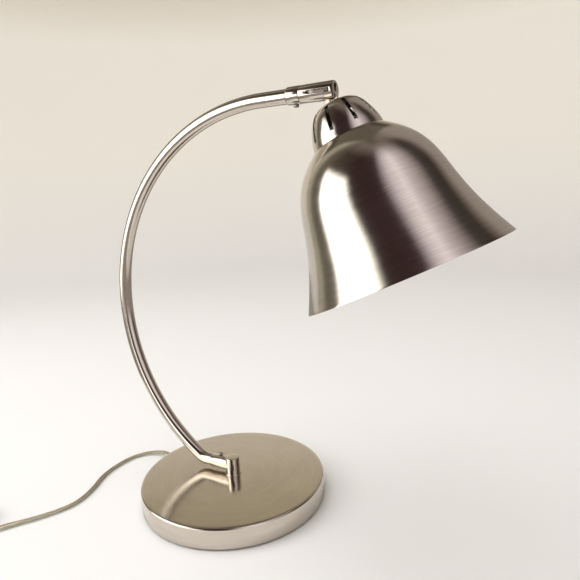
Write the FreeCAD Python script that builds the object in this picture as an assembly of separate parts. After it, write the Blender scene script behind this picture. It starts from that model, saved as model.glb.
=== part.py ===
import FreeCAD, Part
import math
import os

os.makedirs("parts", exist_ok=True)

# Desk lamp with a bell shade on an arc-shaped arm. Millimetres, +Z up. The origin is the centre of the
# base's underside, the arm stands in the XZ plane, and the shade hangs on the +X side.

# general fits
running_gap = 0.05      # radial, a journal or pin in its bore
slip_gap = 0.1          # radial, a piece pushed over or into another
body_gap = 0.3          # between pieces that move past each other

# base
base_radius = 95.0
base_height = 22.0
shell_wall = 1.2
base_edge_round = 2.0
pad_thickness = 1.6
pad_inset = 2.5
shell_lip = 5.0         # the shell's lower edge is turned inwards, and the pad is glued under it
lip_thickness = 1.0
weight_gap = 0.3
weight_thickness = 9.5
weight_chamfer = 2.5
weight_recess_radius = 16.0
weight_recess_roof = 14.6

# threaded nipple through the base, and what is on it
nipple_radius = 4.9
nipple_bore = 3.6
nipple_bottom = 9.0
nipple_in_post = 4.5
washer_radius = 9.5
washer_thickness = 1.2
base_nut_across = 15.0
base_nut_height = 3.6

# post
post_radius = 7.25
post_height = 17.4
post_chamfer = 0.4
foot_ring_radius = 8.1
foot_ring_thickness = 1.2
sleeve_axis_height = 9.6    # above the base's top

# arm
tube_radius = 6.35
tube_wall = 1.0
arc_radius = 193.2
arc_centre_x = 63.0
arm_top = 389.6             # height of the tube's upper straight
foot_bend_radius = 20.0
tube_foot_x = -5.2          # lower end, in the post's wall

# lower sleeve
lower_sleeve_radius = 7.0
lower_sleeve_end = -25.5

# clamp screws of the two sleeves
screw_shank_radius = 1.5
screw_head_radius = 2.4
screw_head_height = 1.9
lower_screw_x = -17.0
lower_screw_lean = 20.0     # degrees, towards the back
upper_screw_x = 97.2

# upper sleeve and swivelling knuckle
head_radius = 7.5
head_sleeve_start = 89.5
head_sleeve_length = 13.0
head_chamfer = 1.3
tube_socket_depth = 9.0
journal_clearance = 0.85    # radial, the journal inside the tube's bore
journal_length = 8.6
clip_clearance = 0.25       # radial, the clip inside the tube's bore
clip_thickness = 1.0
knuckle_length = 30.6
wire_bore = 2.6
slot_width = 4.2
slot_length = 14.7
slot_roof = 5.2             # above the knuckle's axis

# tilt joint
pin_radius = 1.7
pin_from_end = 6.1
tongue_thickness = 3.6
tongue_half_width = 4.9
shade_tilt = 23.5           # degrees from hanging straight down, towards +X

# heights along the shade's own axis, measured down from the tilt pin
link_flange_top = 10.2
link_flange_thickness = 1.8
link_flange_radius = 6.8
stub_length = 22.0
window_top = 7.0
cap_height = 32.0
cap_radius = 30.5
cap_wall = 1.0
cap_flat_radius = 7.2
# outer outline: share of the height, share of the way from the flat top to the lower edge
cap_outline = [(0.0, 0.0), (0.055, 0.385), (0.225, 0.64), (0.485, 0.825), (0.745, 0.94), (1.0, 1.0)]
slot_count = 9
slot_first_angle = -8.0
vent_width = 2.8
vent_top = 4.0              # below the cap's flat top
vent_bottom = 6.6           # above the cap's lower edge

# bell
bell_height = 116.8
bell_wall = 0.9
neck_step = 1.2             # the bell's shoulder stands out this far round the cap
rim_radius = 86.3
collar_length = 3.2
collar_setback = 0.5        # the cap narrows by this much over the collar's length
# outer outline: share of the height, share of the way from the neck to the rim
bell_outline = [(0.0, 0.0), (0.125, 0.284), (0.31, 0.492), (0.48, 0.586), (0.74, 0.755), (1.0, 1.0)]

# lamp holder and bulb
stub_nut_across = 14.0
stub_nut_height = 3.5
holder_top = 27.0
holder_cap_length = 14.0
holder_radius = 16.5
holder_wall = 0.8
holder_length = 47.0
holder_body_radius = 14.2
holder_body_length = 21.0
thread_shell_radius = 13.7
thread_shell_wall = 0.5
key_station = 50.0
key_shaft_radius = 1.6
key_reach = 30.0
key_paddle_width = 10.0
key_paddle_height = 8.0
key_paddle_thickness = 3.0
bulb_cap_radius = 12.9
bulb_cap_length = 24.0
bulb_length = 88.0
bulb_radius = 24.0
bulb_neck_radius = 12.4
bulb_throat_radius = 30.0   # the hollow curve from the neck into the ball
bulb_wall = 0.8

# mains lead
cord_diameter = 5.4
cord_angle = 168.0          # where it leaves the base, degrees from +X
cord_exit_height = 6.2
bushing_outer = 20.0        # length outside the base
bushing_root_radius = 4.0
bushing_flange = 0.5        # radial, each side of the shell's wall
bushing_tip_radius = 3.4
inner_lead_width = 4.6      # the flat lead with its edges left square
inner_lead_thickness = 2.4
inner_bend = 5.0
coil_outer = 39.0           # outside of the wound lead
coil_lanes = 4              # turns beside each other, standing on edge
lane_pitch = 3.0
coil_layers = 2
coil_centre = (-223.2, -178.4)
tie_thickness = 0.8
tie_width = 6.0
tie_gap = 0.1
tie_inner_gap = 0.4         # the ring is curved and the strap is straight
tie_angle = 60.0

# route of the lead from the bushing's tip to the coil, chosen by hand
lead_route = [
    (-122.2, 26.0, 6.2),
    (-135.5, 27.2, 4.0),
    (-150.5, 20.5, 2.8),
    (-160.0, 1.0, 2.8),
    (-158.5, -36.0, 2.8),
    (-143.5, -65.5, 2.8),
    (-138.0, -94.0, 2.8),
    (-151.5, -123.0, 2.9),
    (-168.0, -147.0, 3.3),
    (-181.0, -172.0, 3.7),
]
# route from the coil's upper layer to the plug
tail_route = [
    (-205.3, -218.2, 8.7),
    (-220.2, -226.3, 8.5),
    (-237.2, -226.2, 8.5),
]
plug_entry = (-251.1, -218.4, 8.5)
plug_length = 34.0
plug_neck_length = 14.0
plug_width = 24.0
plug_depth = 16.0
blade_length = 17.0
blade_width = 6.35
blade_thickness = 1.5
blade_spacing = 12.7

V = FreeCAD.Vector
up = V(0, 0, 1)
along_x = V(1, 0, 0)
along_y = V(0, 1, 0)

# heights and places that follow from the sizes above
base_top = base_height
post_bottom = base_top + foot_ring_thickness
post_top = post_bottom + post_height
sleeve_z = base_top + sleeve_axis_height
tube_bore = tube_radius - tube_wall
journal_radius = tube_bore - journal_clearance
clip_radius = tube_bore - clip_clearance
neck_radius = cap_radius + neck_step
arc_centre_z = arm_top - arc_radius
foot_angle = math.acos((arc_centre_z - sleeve_z - foot_bend_radius) / (arc_radius - foot_bend_radius))
head_sleeve_end = head_sleeve_start + head_sleeve_length
knuckle_start = head_sleeve_end + body_gap
knuckle_end = knuckle_start + knuckle_length
tube_head_x = head_sleeve_start + tube_socket_depth - 0.4
pivot = V(knuckle_end - pin_from_end, 0, arm_top)
cap_top = link_flange_top + link_flange_thickness
neck_station = cap_top + cap_height
rim_station = neck_station + bell_height
holder_end = holder_top + holder_length
body_top = holder_top + 6.0
body_end = body_top + holder_body_length
bulb_tip_station = body_end + 1.5
coil_bottom = tie_thickness + tie_gap
coil_top = coil_bottom + coil_layers * cord_diameter
coil_inner = coil_outer - coil_lanes * lane_pitch
bushing_tip = base_radius + bushing_outer


def cylinder(radius, start, direction, length):
    return Part.makeCylinder(radius, length, start, direction)


def tube(radius, bore, start, direction, length):
    outside = cylinder(radius, start, direction, length)
    inside = cylinder(bore, start - direction * 1.0, direction, length + 2.0)
    return outside.cut(inside)


def face_of(edges):
    return Part.Face(Part.Wire(edges))


def polygon(points):
    return Part.makePolygon([*points, points[0]])


def turned(points):
    """A solid turned about the Z axis from an outline given as radius and height."""
    outline = polygon([V(radius, 0, height) for radius, height in points])
    return Part.Face(outline).revolve(V(0, 0, 0), up, 360)


def hexagon(across, height, bottom, bore):
    corner = across / math.sqrt(3)
    turns = [k * math.pi / 3 for k in range(6)]
    corners = [V(corner * math.cos(turn), corner * math.sin(turn), bottom) for turn in turns]
    blank = Part.Face(polygon(corners)).extrude(up * height)
    return blank.cut(cylinder(bore, V(0, 0, bottom - 1), up, height + 2))


def hang(shape):
    """Moves a piece of the shade from its own axis, with the tilt pin at the origin, to its place."""
    placed = shape.copy()
    placed.rotate(V(0, 0, 0), along_y, -shade_tilt)
    placed.translate(pivot)
    return placed


def save(name, *solids):
    shape = solids[0] if len(solids) == 1 else Part.makeCompound(list(solids))
    shape = shape.removeSplitter() if len(solids) == 1 else shape
    count = len(shape.Solids)
    if count != len(solids) or not shape.isValid():
        raise ValueError(f"{name}: {count} solids, valid {shape.isValid()}")
    solid = shape.Solids[0] if count == 1 else shape
    solid.exportStep(f"parts/{name}.step")
    box = solid.BoundBox
    print(f"{name:18s} {count} {solid.Volume:10.1f}  x {box.XMin:7.1f} {box.XMax:7.1f}"
          f"  y {box.YMin:7.1f} {box.YMax:7.1f}  z {box.ZMin:6.1f} {box.ZMax:6.1f}")


# ---- base ----

cord_way = V(math.cos(math.radians(cord_angle)), math.sin(math.radians(cord_angle)), 0)


def base_shell():
    """Spun steel cover: a flat top, a rounded edge, a straight side and an inward lip at the bottom."""
    outer = cylinder(base_radius, V(0, 0, pad_thickness), up, base_height - pad_thickness)
    top_edge = [e for e in outer.Edges if e.BoundBox.ZMin > base_height - 0.1]
    outer = outer.makeFillet(base_edge_round, top_edge)
    lip_top = pad_thickness + lip_thickness
    inner = cylinder(base_radius - shell_wall, V(0, 0, lip_top), up, base_height - shell_wall - lip_top)
    shell = outer.cut(inner).cut(cylinder(base_radius - shell_wall - shell_lip, V(0, 0, 0), up, lip_top + 1))
    shell = shell.cut(cylinder(nipple_radius + slip_gap, V(0, 0, 0), up, base_height + 1))
    hole_start = cord_way * (base_radius - 10) + up * cord_exit_height
    cord_hole = cylinder(bushing_root_radius, hole_start, cord_way, 20)
    notch_radius = bushing_root_radius + bushing_flange + slip_gap
    lip_notch = cylinder(notch_radius, hole_start, cord_way, 9.8 - shell_wall)
    return shell.cut(cord_hole).cut(lip_notch)


def base_weight():
    """Cast-iron disc under the shell's top, with a recess for the nut."""
    radius = base_radius - shell_wall - weight_gap
    top = base_height - shell_wall - weight_gap
    bottom = top - weight_thickness
    disc = turned([
        (0, bottom), (radius, bottom), (radius, top - weight_chamfer),
        (radius - weight_chamfer, top), (0, top)])
    disc = disc.cut(cylinder(nipple_radius + body_gap, V(0, 0, 0), up, base_height))
    return disc.cut(cylinder(weight_recess_radius, V(0, 0, 0), up, weight_recess_roof))


def cord_bushing():
    """Tapered strain relief, held in the side of the shell by a flange and a shoulder."""
    inside_face = base_radius - shell_wall
    flange = bushing_root_radius + bushing_flange
    neck = bushing_root_radius - slip_gap
    outline = [
        (cord_diameter / 2 + slip_gap, inside_face - 2.2), (flange, inside_face - 2.2),
        (flange, inside_face - body_gap), (neck, inside_face - body_gap),
        (neck, base_radius + slip_gap), (flange, base_radius + slip_gap),
        (bushing_root_radius, base_radius + 2.4),
        (bushing_tip_radius, bushing_tip), (cord_diameter / 2 + slip_gap, bushing_tip)]
    bushing = turned(outline)
    bushing.rotate(V(0, 0, 0), along_y, 90)
    bushing.rotate(V(0, 0, 0), up, cord_angle)
    bushing.translate(up * cord_exit_height)
    return bushing


save("base_shell", base_shell())
save("base_weight", base_weight())
save("base_pad", cylinder(base_radius - pad_inset, V(0, 0, 0), up, pad_thickness))
save("cord_bushing", cord_bushing())

nipple_top = post_bottom + nipple_in_post
save("base_nipple", tube(nipple_radius, nipple_bore, V(0, 0, nipple_bottom), up, nipple_top - nipple_bottom))
washer_bottom = weight_recess_roof - washer_thickness
nut_bottom = washer_bottom - base_nut_height
washer_bore = nipple_radius + slip_gap
nut_bore = nipple_radius + running_gap
save("base_washer", tube(washer_radius, washer_bore, V(0, 0, washer_bottom), up, washer_thickness))
save("base_nut", hexagon(base_nut_across, base_nut_height, nut_bottom, nut_bore))


# ---- post and lower sleeve ----

def post():
    """Turned post: threaded on the nipple from below, cross-bored for the arm's end."""
    blank = cylinder(post_radius, V(0, 0, post_bottom), up, post_height)
    blank = blank.makeChamfer(post_chamfer, [e for e in blank.Edges if e.BoundBox.ZMin > post_top - 0.1])
    blank = blank.cut(cylinder(nipple_radius + running_gap, V(0, 0, 0), up, nipple_top + 0.2))
    blank = blank.cut(cylinder(nipple_bore, V(0, 0, 0), up, sleeve_z))
    bore_start = V(tube_foot_x + 0.2, 0, sleeve_z)
    cross_bore = cylinder(tube_radius + running_gap, bore_start, along_x * -1, post_radius + 1)
    throat = cylinder(tube_bore, V(3.2, 0, sleeve_z), along_x * -1, 10)
    return blank.cut(cross_bore).cut(throat)


def screw_place(x, z, lean):
    """The direction out of a sleeve and the sleeve's axis point that a clamp screw stands on."""
    angle = math.radians(lean)
    return V(x, 0, z), V(0, math.sin(angle), math.cos(angle))


def clamp_screw(x, z, lean, sleeve_radius):
    """Pan-head screw whose tip bears on the tube."""
    centre, out = screw_place(x, z, lean)
    seat = sleeve_radius + 0.15
    shank = cylinder(screw_shank_radius, centre + out * (tube_radius + 0.02), out, seat - tube_radius)
    head = cylinder(screw_head_radius, centre + out * seat, out, screw_head_height)
    rim = [e for e in head.Edges if len(e.Vertexes) == 1 and (e.CenterOfMass - centre).dot(out) > seat + 1]
    head = head.makeChamfer(0.6, rim)
    return head.fuse(shank)


def lower_sleeve():
    """Collar where the tube enters the post. Its end is hollowed to sit on the post's round side."""
    length = -lower_sleeve_end
    blank = cylinder(lower_sleeve_radius, V(lower_sleeve_end, 0, sleeve_z), along_x, length)
    blank = blank.makeChamfer(0.4, [e for e in blank.Edges if e.BoundBox.XMax < lower_sleeve_end + 0.1])
    bore_start = V(lower_sleeve_end - 1, 0, sleeve_z)
    blank = blank.cut(cylinder(tube_radius + running_gap, bore_start, along_x, length + 2))
    blank = blank.cut(cylinder(post_radius + running_gap, V(0, 0, 0), up, post_top + 10))
    centre, out = screw_place(lower_screw_x, sleeve_z, lower_screw_lean)
    return blank.cut(cylinder(screw_shank_radius + running_gap, centre, out, 20))


save("foot_ring", tube(foot_ring_radius, washer_bore, V(0, 0, base_top), up, foot_ring_thickness))
save("post", post())
save("lower_sleeve", lower_sleeve())
save("lower_screw", clamp_screw(lower_screw_x, sleeve_z, lower_screw_lean, lower_sleeve_radius))


# ---- arm ----

def arm_path(start_x, end_x):
    """Centre line of the arm: lower sleeve, foot bend, long arc, then straight along the top."""
    arc_foot = V(arc_centre_x - arc_radius * math.sin(foot_angle), 0,
                 arc_centre_z - arc_radius * math.cos(foot_angle))
    bend_start_x = arc_foot.x + foot_bend_radius * math.sin(foot_angle)
    bend_start = V(bend_start_x, 0, sleeve_z)
    half = foot_angle / 2
    bend_middle = V(bend_start_x - foot_bend_radius * math.sin(half), 0,
                    sleeve_z + foot_bend_radius * (1 - math.cos(half)))
    side = (foot_angle + math.pi) / 2
    arc_middle = V(arc_centre_x - arc_radius * math.sin(side), 0, arc_centre_z - arc_radius * math.cos(side))
    arc_head = V(arc_centre_x, 0, arm_top)
    return [
        Part.LineSegment(V(start_x, 0, sleeve_z), bend_start).toShape(),
        Part.Arc(bend_start, bend_middle, arc_foot).toShape(),
        Part.Arc(arc_foot, arc_middle, arc_head).toShape(),
        Part.LineSegment(arc_head, V(end_x, 0, arm_top)).toShape(),
    ]


def swept(edges, start, direction, radius):
    profile = Part.Wire([Part.Circle(start, direction, radius).toShape()])
    return Part.Wire(edges).makePipeShell([profile], True, False)


def arm_tube():
    path = arm_path(tube_foot_x, tube_head_x)
    start = V(tube_foot_x, 0, sleeve_z)
    outside = swept(path, start, along_x * -1, tube_radius)
    inside = swept(path, start, along_x * -1, tube_bore)
    return outside.cut(inside)


def inner_lead():
    """The wires inside: from the bushing under the weight, up the nipple, through the arm to the swivel."""
    start = cord_way * bushing_tip + up * cord_exit_height
    turn_start = cord_way * inner_bend + up * cord_exit_height
    slant = math.sqrt(0.5)
    turn_middle = cord_way * inner_bend * (1 - slant) + up * (cord_exit_height + inner_bend * (1 - slant))
    turn_end = up * (cord_exit_height + inner_bend)
    bend = 4.5
    rise_end = up * (sleeve_z - bend)
    rise_middle = V(-bend * (1 - slant), 0, sleeve_z - bend * (1 - slant))
    leave = V(-bend, 0, sleeve_z)
    edges = [
        Part.LineSegment(start, turn_start).toShape(),
        Part.Arc(turn_start, turn_middle, turn_end).toShape(),
        Part.LineSegment(turn_end, rise_end).toShape(),
        Part.Arc(rise_end, rise_middle, leave).toShape(),
        *arm_path(leave.x, head_sleeve_start - 1.0),
    ]
    across = up.cross(cord_way) * (inner_lead_width / 2)
    rise = up * (inner_lead_thickness / 2)
    section = polygon([start + across + rise, start + across - rise,
                       start - across - rise, start - across + rise])
    return Part.Wire(edges).makePipeShell([section], True, False)


save("arm_tube", arm_tube())
save("inner_lead", inner_lead())


# ---- swivel ----

def head_sleeve():
    """Fixed collar on the tube's upper end, with a smaller bore that carries the knuckle's journal."""
    blank = cylinder(head_radius, V(head_sleeve_start, 0, arm_top), along_x, head_sleeve_length)
    lower_edge = [e for e in blank.Edges if e.BoundBox.XMax < head_sleeve_start + 0.1]
    blank = blank.makeChamfer(head_chamfer, lower_edge)
    blank = blank.cut(cylinder(tube_radius + running_gap, V(head_sleeve_start - 1, 0, arm_top), along_x,
                               tube_socket_depth + 1))
    blank = blank.cut(cylinder(journal_radius + running_gap, V(head_sleeve_start, 0, arm_top), along_x, 30))
    centre, out = screw_place(upper_screw_x, arm_top, 180)
    return blank.cut(cylinder(screw_shank_radius + running_gap, centre, out, 20))


clip_x = head_sleeve_start + tube_socket_depth - body_gap - clip_thickness
groove_depth = 0.6


def swivel_knuckle():
    """Round knuckle with a journal at one end and a slot for the shade's tongue at the other."""
    body = cylinder(head_radius, V(knuckle_start, 0, arm_top), along_x, knuckle_length)
    body = body.makeChamfer(0.5, [e for e in body.Edges if e.BoundBox.XMin > knuckle_end - 0.1])
    journal_start = V(knuckle_start - journal_length, 0, arm_top)
    body = body.fuse(cylinder(journal_radius, journal_start, along_x, journal_length))
    groove = tube(head_radius, journal_radius - groove_depth, V(clip_x - running_gap, 0, arm_top), along_x,
                  clip_thickness + 2 * running_gap)
    body = body.cut(groove)
    slot_start = knuckle_end - slot_length
    body = body.cut(cylinder(wire_bore, V(knuckle_start - journal_length - 1, 0, arm_top), along_x,
                             slot_start - knuckle_start + journal_length + 2))
    flat = Part.makeBox(slot_length + 1, slot_width, head_radius + slot_roof + 1,
                        V(slot_start, -slot_width / 2, arm_top - head_radius - 1))
    body = body.cut(flat)
    return body.cut(cylinder(pin_radius + 0.02, pivot - along_y * 10, along_y, 20))


def tilt_link():
    """Tongue round the pin, a flange that sits on the cap, and a hollow threaded stub below it.

    The stub's bore runs on into the tongue and opens on both its faces, where the wires come out.
    """
    half = tongue_thickness / 2
    head = cylinder(tongue_half_width, V(0, -half, 0), along_y, tongue_thickness)
    shank = Part.makeBox(2 * tongue_half_width, tongue_thickness, link_flange_top + 0.5,
                         V(-tongue_half_width, -half, -link_flange_top - 0.5))
    flange = cylinder(link_flange_radius, V(0, 0, -cap_top), up, link_flange_thickness)
    flange = flange.makeChamfer(0.5, [e for e in flange.Edges if e.BoundBox.ZMin > -link_flange_top - 0.1])
    stub = cylinder(nipple_radius, V(0, 0, -cap_top - stub_length), up, stub_length)
    link = head.fuse([shank, flange, stub])
    link = link.cut(cylinder(pin_radius + running_gap, V(0, -10, 0), along_y, 20))
    bore_start = V(0, 0, -cap_top - stub_length - 1)
    return link.cut(cylinder(wire_bore, bore_start, up, cap_top + stub_length + 1 - window_top))


save("head_sleeve", head_sleeve())
save("upper_screw", clamp_screw(upper_screw_x, arm_top, 180, head_radius))
save("swivel_knuckle", swivel_knuckle())
clip_bore = journal_radius - groove_depth + running_gap
save("swivel_clip", tube(clip_radius, clip_bore, V(clip_x, 0, arm_top), along_x, clip_thickness))
pin_half = math.sqrt(head_radius ** 2 - pin_radius ** 2) - 0.1
save("tilt_pin", cylinder(pin_radius, pivot - along_y * pin_half, along_y, 2 * pin_half))
save("tilt_link", hang(tilt_link()))


# ---- cap and bell ----

def spun_outline(outline, radii, top, height, inset):
    """Points down a spun piece's outline, moved inwards square to it by the inset."""
    first, last = radii
    points = [(first + share_r * (last - first), -top - share_h * height) for share_h, share_r in outline]
    moved = []
    for k, (radius, level) in enumerate(points):
        before, after = points[max(k - 1, 0)], points[min(k + 1, len(points) - 1)]
        run = V(after[0] - before[0], 0, after[1] - before[1])
        run.normalize()
        moved.append(V(radius + run.z * inset, 0, level - run.x * inset))
    return moved


def spline(points):
    curve = Part.BSplineCurve()
    curve.interpolate(points)
    return curve.toShape()


def lines(points):
    return [Part.LineSegment(a, b).toShape() for a, b in zip(points, points[1:])]


def spun(edges):
    return face_of(Part.__sortEdges__(edges)).revolve(V(0, 0, 0), up, 360)


def vent_cap():
    """Spun dome with a flat top for the link's flange and a ring of upright vents."""
    radii = (cap_flat_radius, cap_radius)
    outer = spun_outline(cap_outline, radii, cap_top, cap_height, 0)
    inner = spun_outline(cap_outline, radii, cap_top, cap_height, cap_wall)
    inner[0] = V(outer[0].x, 0, outer[0].z - cap_wall)
    inner[-1] = V(outer[-1].x - cap_wall, 0, outer[-1].z)
    hole = nipple_radius + slip_gap
    flat = lines([inner[0], V(hole, 0, inner[0].z), V(hole, 0, outer[0].z), outer[0]])
    cap = spun([spline(outer), spline(inner), *flat, *lines([outer[-1], inner[-1]])])
    vent_low = -neck_station + vent_bottom
    vent_high = -cap_top - vent_top
    vents = []
    for k in range(slot_count):
        vent = Part.makeBox(cap_radius, vent_width, vent_high - vent_low, V(8.0, -vent_width / 2, vent_low))
        vent.rotate(V(0, 0, 0), up, slot_first_angle - 360.0 * k / slot_count)
        vents.append(vent)
    return cap.cut(vents)


def bell_shade():
    """Spun bell: a collar inside the cap, a narrow shoulder, a round breast and a flared rim."""
    radii = (neck_radius, rim_radius)
    outer = spun_outline(bell_outline, radii, neck_station, bell_height, 0)
    inner = spun_outline(bell_outline, radii, neck_station, bell_height, bell_wall)
    inner[-1] = V(inner[-1].x, 0, outer[-1].z)
    collar_out = cap_radius - cap_wall - collar_setback - slip_gap
    collar_in = collar_out - bell_wall
    shoulder = -neck_station
    neck = lines([inner[0], V(collar_in, 0, shoulder - bell_wall), V(collar_in, 0, shoulder + collar_length),
                  V(collar_out, 0, shoulder + collar_length), V(collar_out, 0, shoulder), outer[0]])
    return spun([spline(outer), spline(inner), *neck, *lines([outer[-1], inner[-1]])])


save("vent_cap", hang(vent_cap()))
save("bell_shade", hang(bell_shade()))


# ---- lamp holder and bulb ----

washer_low = -cap_top - cap_wall - washer_thickness
stub_nut_low = washer_low - stub_nut_height
save("stub_washer", hang(tube(washer_radius, washer_bore, V(0, 0, washer_low), up, washer_thickness)))
save("stub_nut", hang(hexagon(stub_nut_across, stub_nut_height, stub_nut_low, nut_bore)))


def key_direction():
    return V(-1, 0, 0)


def holder_cap():
    """Upper half of the lamp holder's shell, screwed on the stub."""
    top = -holder_top
    skirt = top - holder_cap_length
    wall = holder_wall
    outer = turned([
        (0, top), (nipple_radius + 3, top), (holder_radius - 2, top - 4),
        (holder_radius, top - 7), (holder_radius, skirt), (0, skirt)])
    inner = turned([
        (0, top - wall), (nipple_radius + 3 - wall / 2, top - wall),
        (holder_radius - 2 - wall, top - 4 - wall / 2), (holder_radius - wall, top - 7),
        (holder_radius - wall, skirt - 1), (0, skirt - 1)])
    return outer.cut(inner).cut(cylinder(nipple_radius + running_gap, V(0, 0, top - 3), up, 6))


def holder_shell():
    """Lower half of the shell. It goes inside the upper half, and its mouth is turned inwards."""
    radius = holder_radius - holder_wall - slip_gap
    start = -holder_top - holder_cap_length + 5.0
    mouth = -holder_end
    inside = radius - holder_wall
    turned_in = inside - 0.6
    shell = turned([
        (radius, start), (inside, start), (inside, mouth + holder_wall), (turned_in, mouth + holder_wall),
        (turned_in, mouth), (radius - 0.4, mouth), (radius, mouth + 0.4)])
    hole = cylinder(key_shaft_radius + 0.8, V(0, 0, -key_station), key_direction(), holder_radius + 5)
    return shell.cut(hole)


def holder_body():
    """Moulded switch body inside the shell, bored for the key's shaft and recessed below for the contact."""
    radius = holder_body_radius
    body = cylinder(radius, V(0, 0, -body_end), up, holder_body_length)
    body = body.cut(cylinder(nipple_radius + body_gap, V(0, 0, -cap_top - stub_length - 1), up, stub_length))
    body = body.cut(cylinder(5.0, V(0, 0, -body_end - 1), up, 2.5))
    shaft_bore = cylinder(key_shaft_radius + running_gap, V(-4, 0, -key_station), key_direction(), radius)
    return body.cut(shaft_bore)


def thread_shell():
    """Formed metal sleeve that takes the bulb's cap."""
    length = holder_end - body_end - 1.0
    inside = thread_shell_radius - thread_shell_wall
    return tube(thread_shell_radius, inside, V(0, 0, -body_end - length), up, length)


def centre_contact():
    """Sprung tongue at the bottom of the holder: a small disc on a pad."""
    disc = cylinder(4.0, V(0, 0, -body_end), up, 1.4)
    return disc.fuse(cylinder(2.4, V(0, 0, -body_end - 1.2), up, 1.3))


def switch_key():
    """Flat turn key on a round shaft, reached from under the shade."""
    shaft_start = 5.0
    paddle_start = key_reach - key_paddle_width
    shaft = cylinder(key_shaft_radius, V(-shaft_start, 0, -key_station), key_direction(),
                     paddle_start - shaft_start + 1)
    hub = cylinder(key_shaft_radius + 1.2, V(-paddle_start, 0, -key_station), key_direction(), 3)
    paddle = Part.makeBox(key_paddle_width, key_paddle_thickness, key_paddle_height,
                          V(-key_reach, -key_paddle_thickness / 2, -key_station - key_paddle_height / 2))
    outer_end = [e for e in paddle.Edges if e.BoundBox.XMax < -key_reach + 0.1]
    crosswise = [e for e in outer_end if e.BoundBox.ZLength < 0.01]
    paddle = paddle.makeFillet(2.6, crosswise)
    return shaft.fuse([hub, paddle])


def bulb_blank(wall):
    """Bulb's outline turned about its axis, made smaller all round by the wall."""
    neck = bulb_tip_station + bulb_cap_length - 1.0
    ball = bulb_tip_station + bulb_length - bulb_radius
    neck_radius_here = bulb_neck_radius - wall
    radius = bulb_radius - wall
    hollow = bulb_throat_radius + wall
    hollow_x = bulb_neck_radius + bulb_throat_radius
    rise = math.sqrt((bulb_radius + bulb_throat_radius) ** 2 - hollow_x ** 2)
    swell = math.atan2(rise, hollow_x)

    def on_ball(angle):
        return V(radius * math.cos(angle), 0, -ball + radius * math.sin(angle))

    def on_hollow(angle):
        return V(hollow_x - hollow * math.cos(angle), 0, -ball + rise - hollow * math.sin(angle))

    top = V(0, 0, -neck + (1.0 if wall else 0.0))
    neck_start = V(neck_radius_here, 0, top.z)
    neck_end = V(neck_radius_here, 0, -ball + rise)
    foot = V(0, 0, -ball - radius)
    edges = [
        Part.LineSegment(top, neck_start).toShape(),
        Part.LineSegment(neck_start, neck_end).toShape(),
        Part.Arc(neck_end, on_hollow(swell / 2), on_ball(swell)).toShape(),
        Part.Arc(on_ball(swell), on_ball(-swell / 2), foot).toShape(),
        Part.LineSegment(foot, top).toShape(),
    ]
    return face_of(edges).revolve(V(0, 0, 0), up, 360)


def bulb_glass():
    """Round bulb: a straight neck that swells into a ball, thin and open at the neck."""
    return bulb_blank(0.0).cut(bulb_blank(bulb_wall))


def bulb_cap():
    """Screw cap of the bulb with its insulated tip."""
    tip = -bulb_tip_station
    return turned([
        (0, tip), (3.6, tip), (4.6, tip - 1.2), (9.6, tip - 3.2), (bulb_cap_radius - 0.4, tip - 4.6),
        (bulb_cap_radius, tip - 6), (bulb_cap_radius, tip - bulb_cap_length + 1.2),
        (0, tip - bulb_cap_length + 1.2)])


save("holder_cap", hang(holder_cap()))
save("holder_shell", hang(holder_shell()))
save("holder_body", hang(holder_body()))
save("thread_shell", hang(thread_shell()))
save("centre_contact", hang(centre_contact()))
save("switch_key", hang(switch_key()))
save("bulb_cap", hang(bulb_cap()))
save("bulb_glass", hang(bulb_glass()))


# ---- mains lead ----

def rounded_route(points, name):
    """Straight runs joined by tangent arcs, each as large as its two runs allow."""
    edges = []
    here = points[0]
    radii = []
    for before, corner, after in zip(points, points[1:], points[2:]):
        into = corner - before
        out = after - corner
        shorter = min(into.Length, out.Length)
        into.normalize()
        out.normalize()
        turn = into.getAngle(out)
        radius = 0.45 * shorter / math.tan(turn / 2)
        radii.append(radius)
        start = corner - into * (0.45 * shorter)
        stop = corner + out * (0.45 * shorter)
        inward = out - into
        inward.normalize()
        middle = corner + inward * (radius / math.cos(turn / 2) - radius)
        edges.append(Part.LineSegment(here, start).toShape())
        edges.append(Part.Arc(start, middle, stop).toShape())
        here = stop
    edges.append(Part.LineSegment(here, points[-1]).toShape())
    length = sum(e.Length for e in edges)
    print(f"{name}: length {length:.1f}, radii", " ".join(f"{r:.0f}" for r in radii))
    return edges


def cord(points, name):
    vectors = [V(*p) for p in points]
    edges = rounded_route(vectors, name)
    solid = swept(edges, vectors[0], vectors[1] - vectors[0], cord_diameter / 2)
    wanted = sum(e.Length for e in edges) * math.pi * (cord_diameter / 2) ** 2
    print(f"{name}: volume over section times length {solid.Volume / wanted:.4f}")
    return solid


def coil_at(degrees, radius, height):
    angle = math.radians(degrees)
    return V(coil_centre[0] + radius * math.cos(angle), coil_centre[1] + radius * math.sin(angle), height)


def cord_coil():
    """Outer shape of the wound lead: a flat ring."""
    return tube(coil_outer, coil_inner, V(*coil_centre, coil_bottom), up, coil_top - coil_bottom)


def coil_tie():
    """Strap round the bundle of turns."""
    outer = coil_outer + tie_gap
    inner = coil_inner - tie_inner_gap
    middle = (outer + inner) / 2
    height = coil_top - coil_bottom + 2 * tie_gap
    width = outer - inner

    def block(grow, length):
        box = Part.makeBox(width + 2 * grow, length, height + 2 * grow,
                           V(middle - width / 2 - grow, -length / 2, coil_bottom - tie_gap - grow))
        upright = [e for e in box.Edges if e.BoundBox.YLength > length / 2]
        return box.makeFillet(tie_gap + grow, upright)

    strap = block(tie_thickness, tie_width).cut(block(0, tie_width + 2))
    strap.rotate(V(0, 0, 0), up, tie_angle)
    strap.translate(V(*coil_centre, 0))
    return strap


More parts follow.
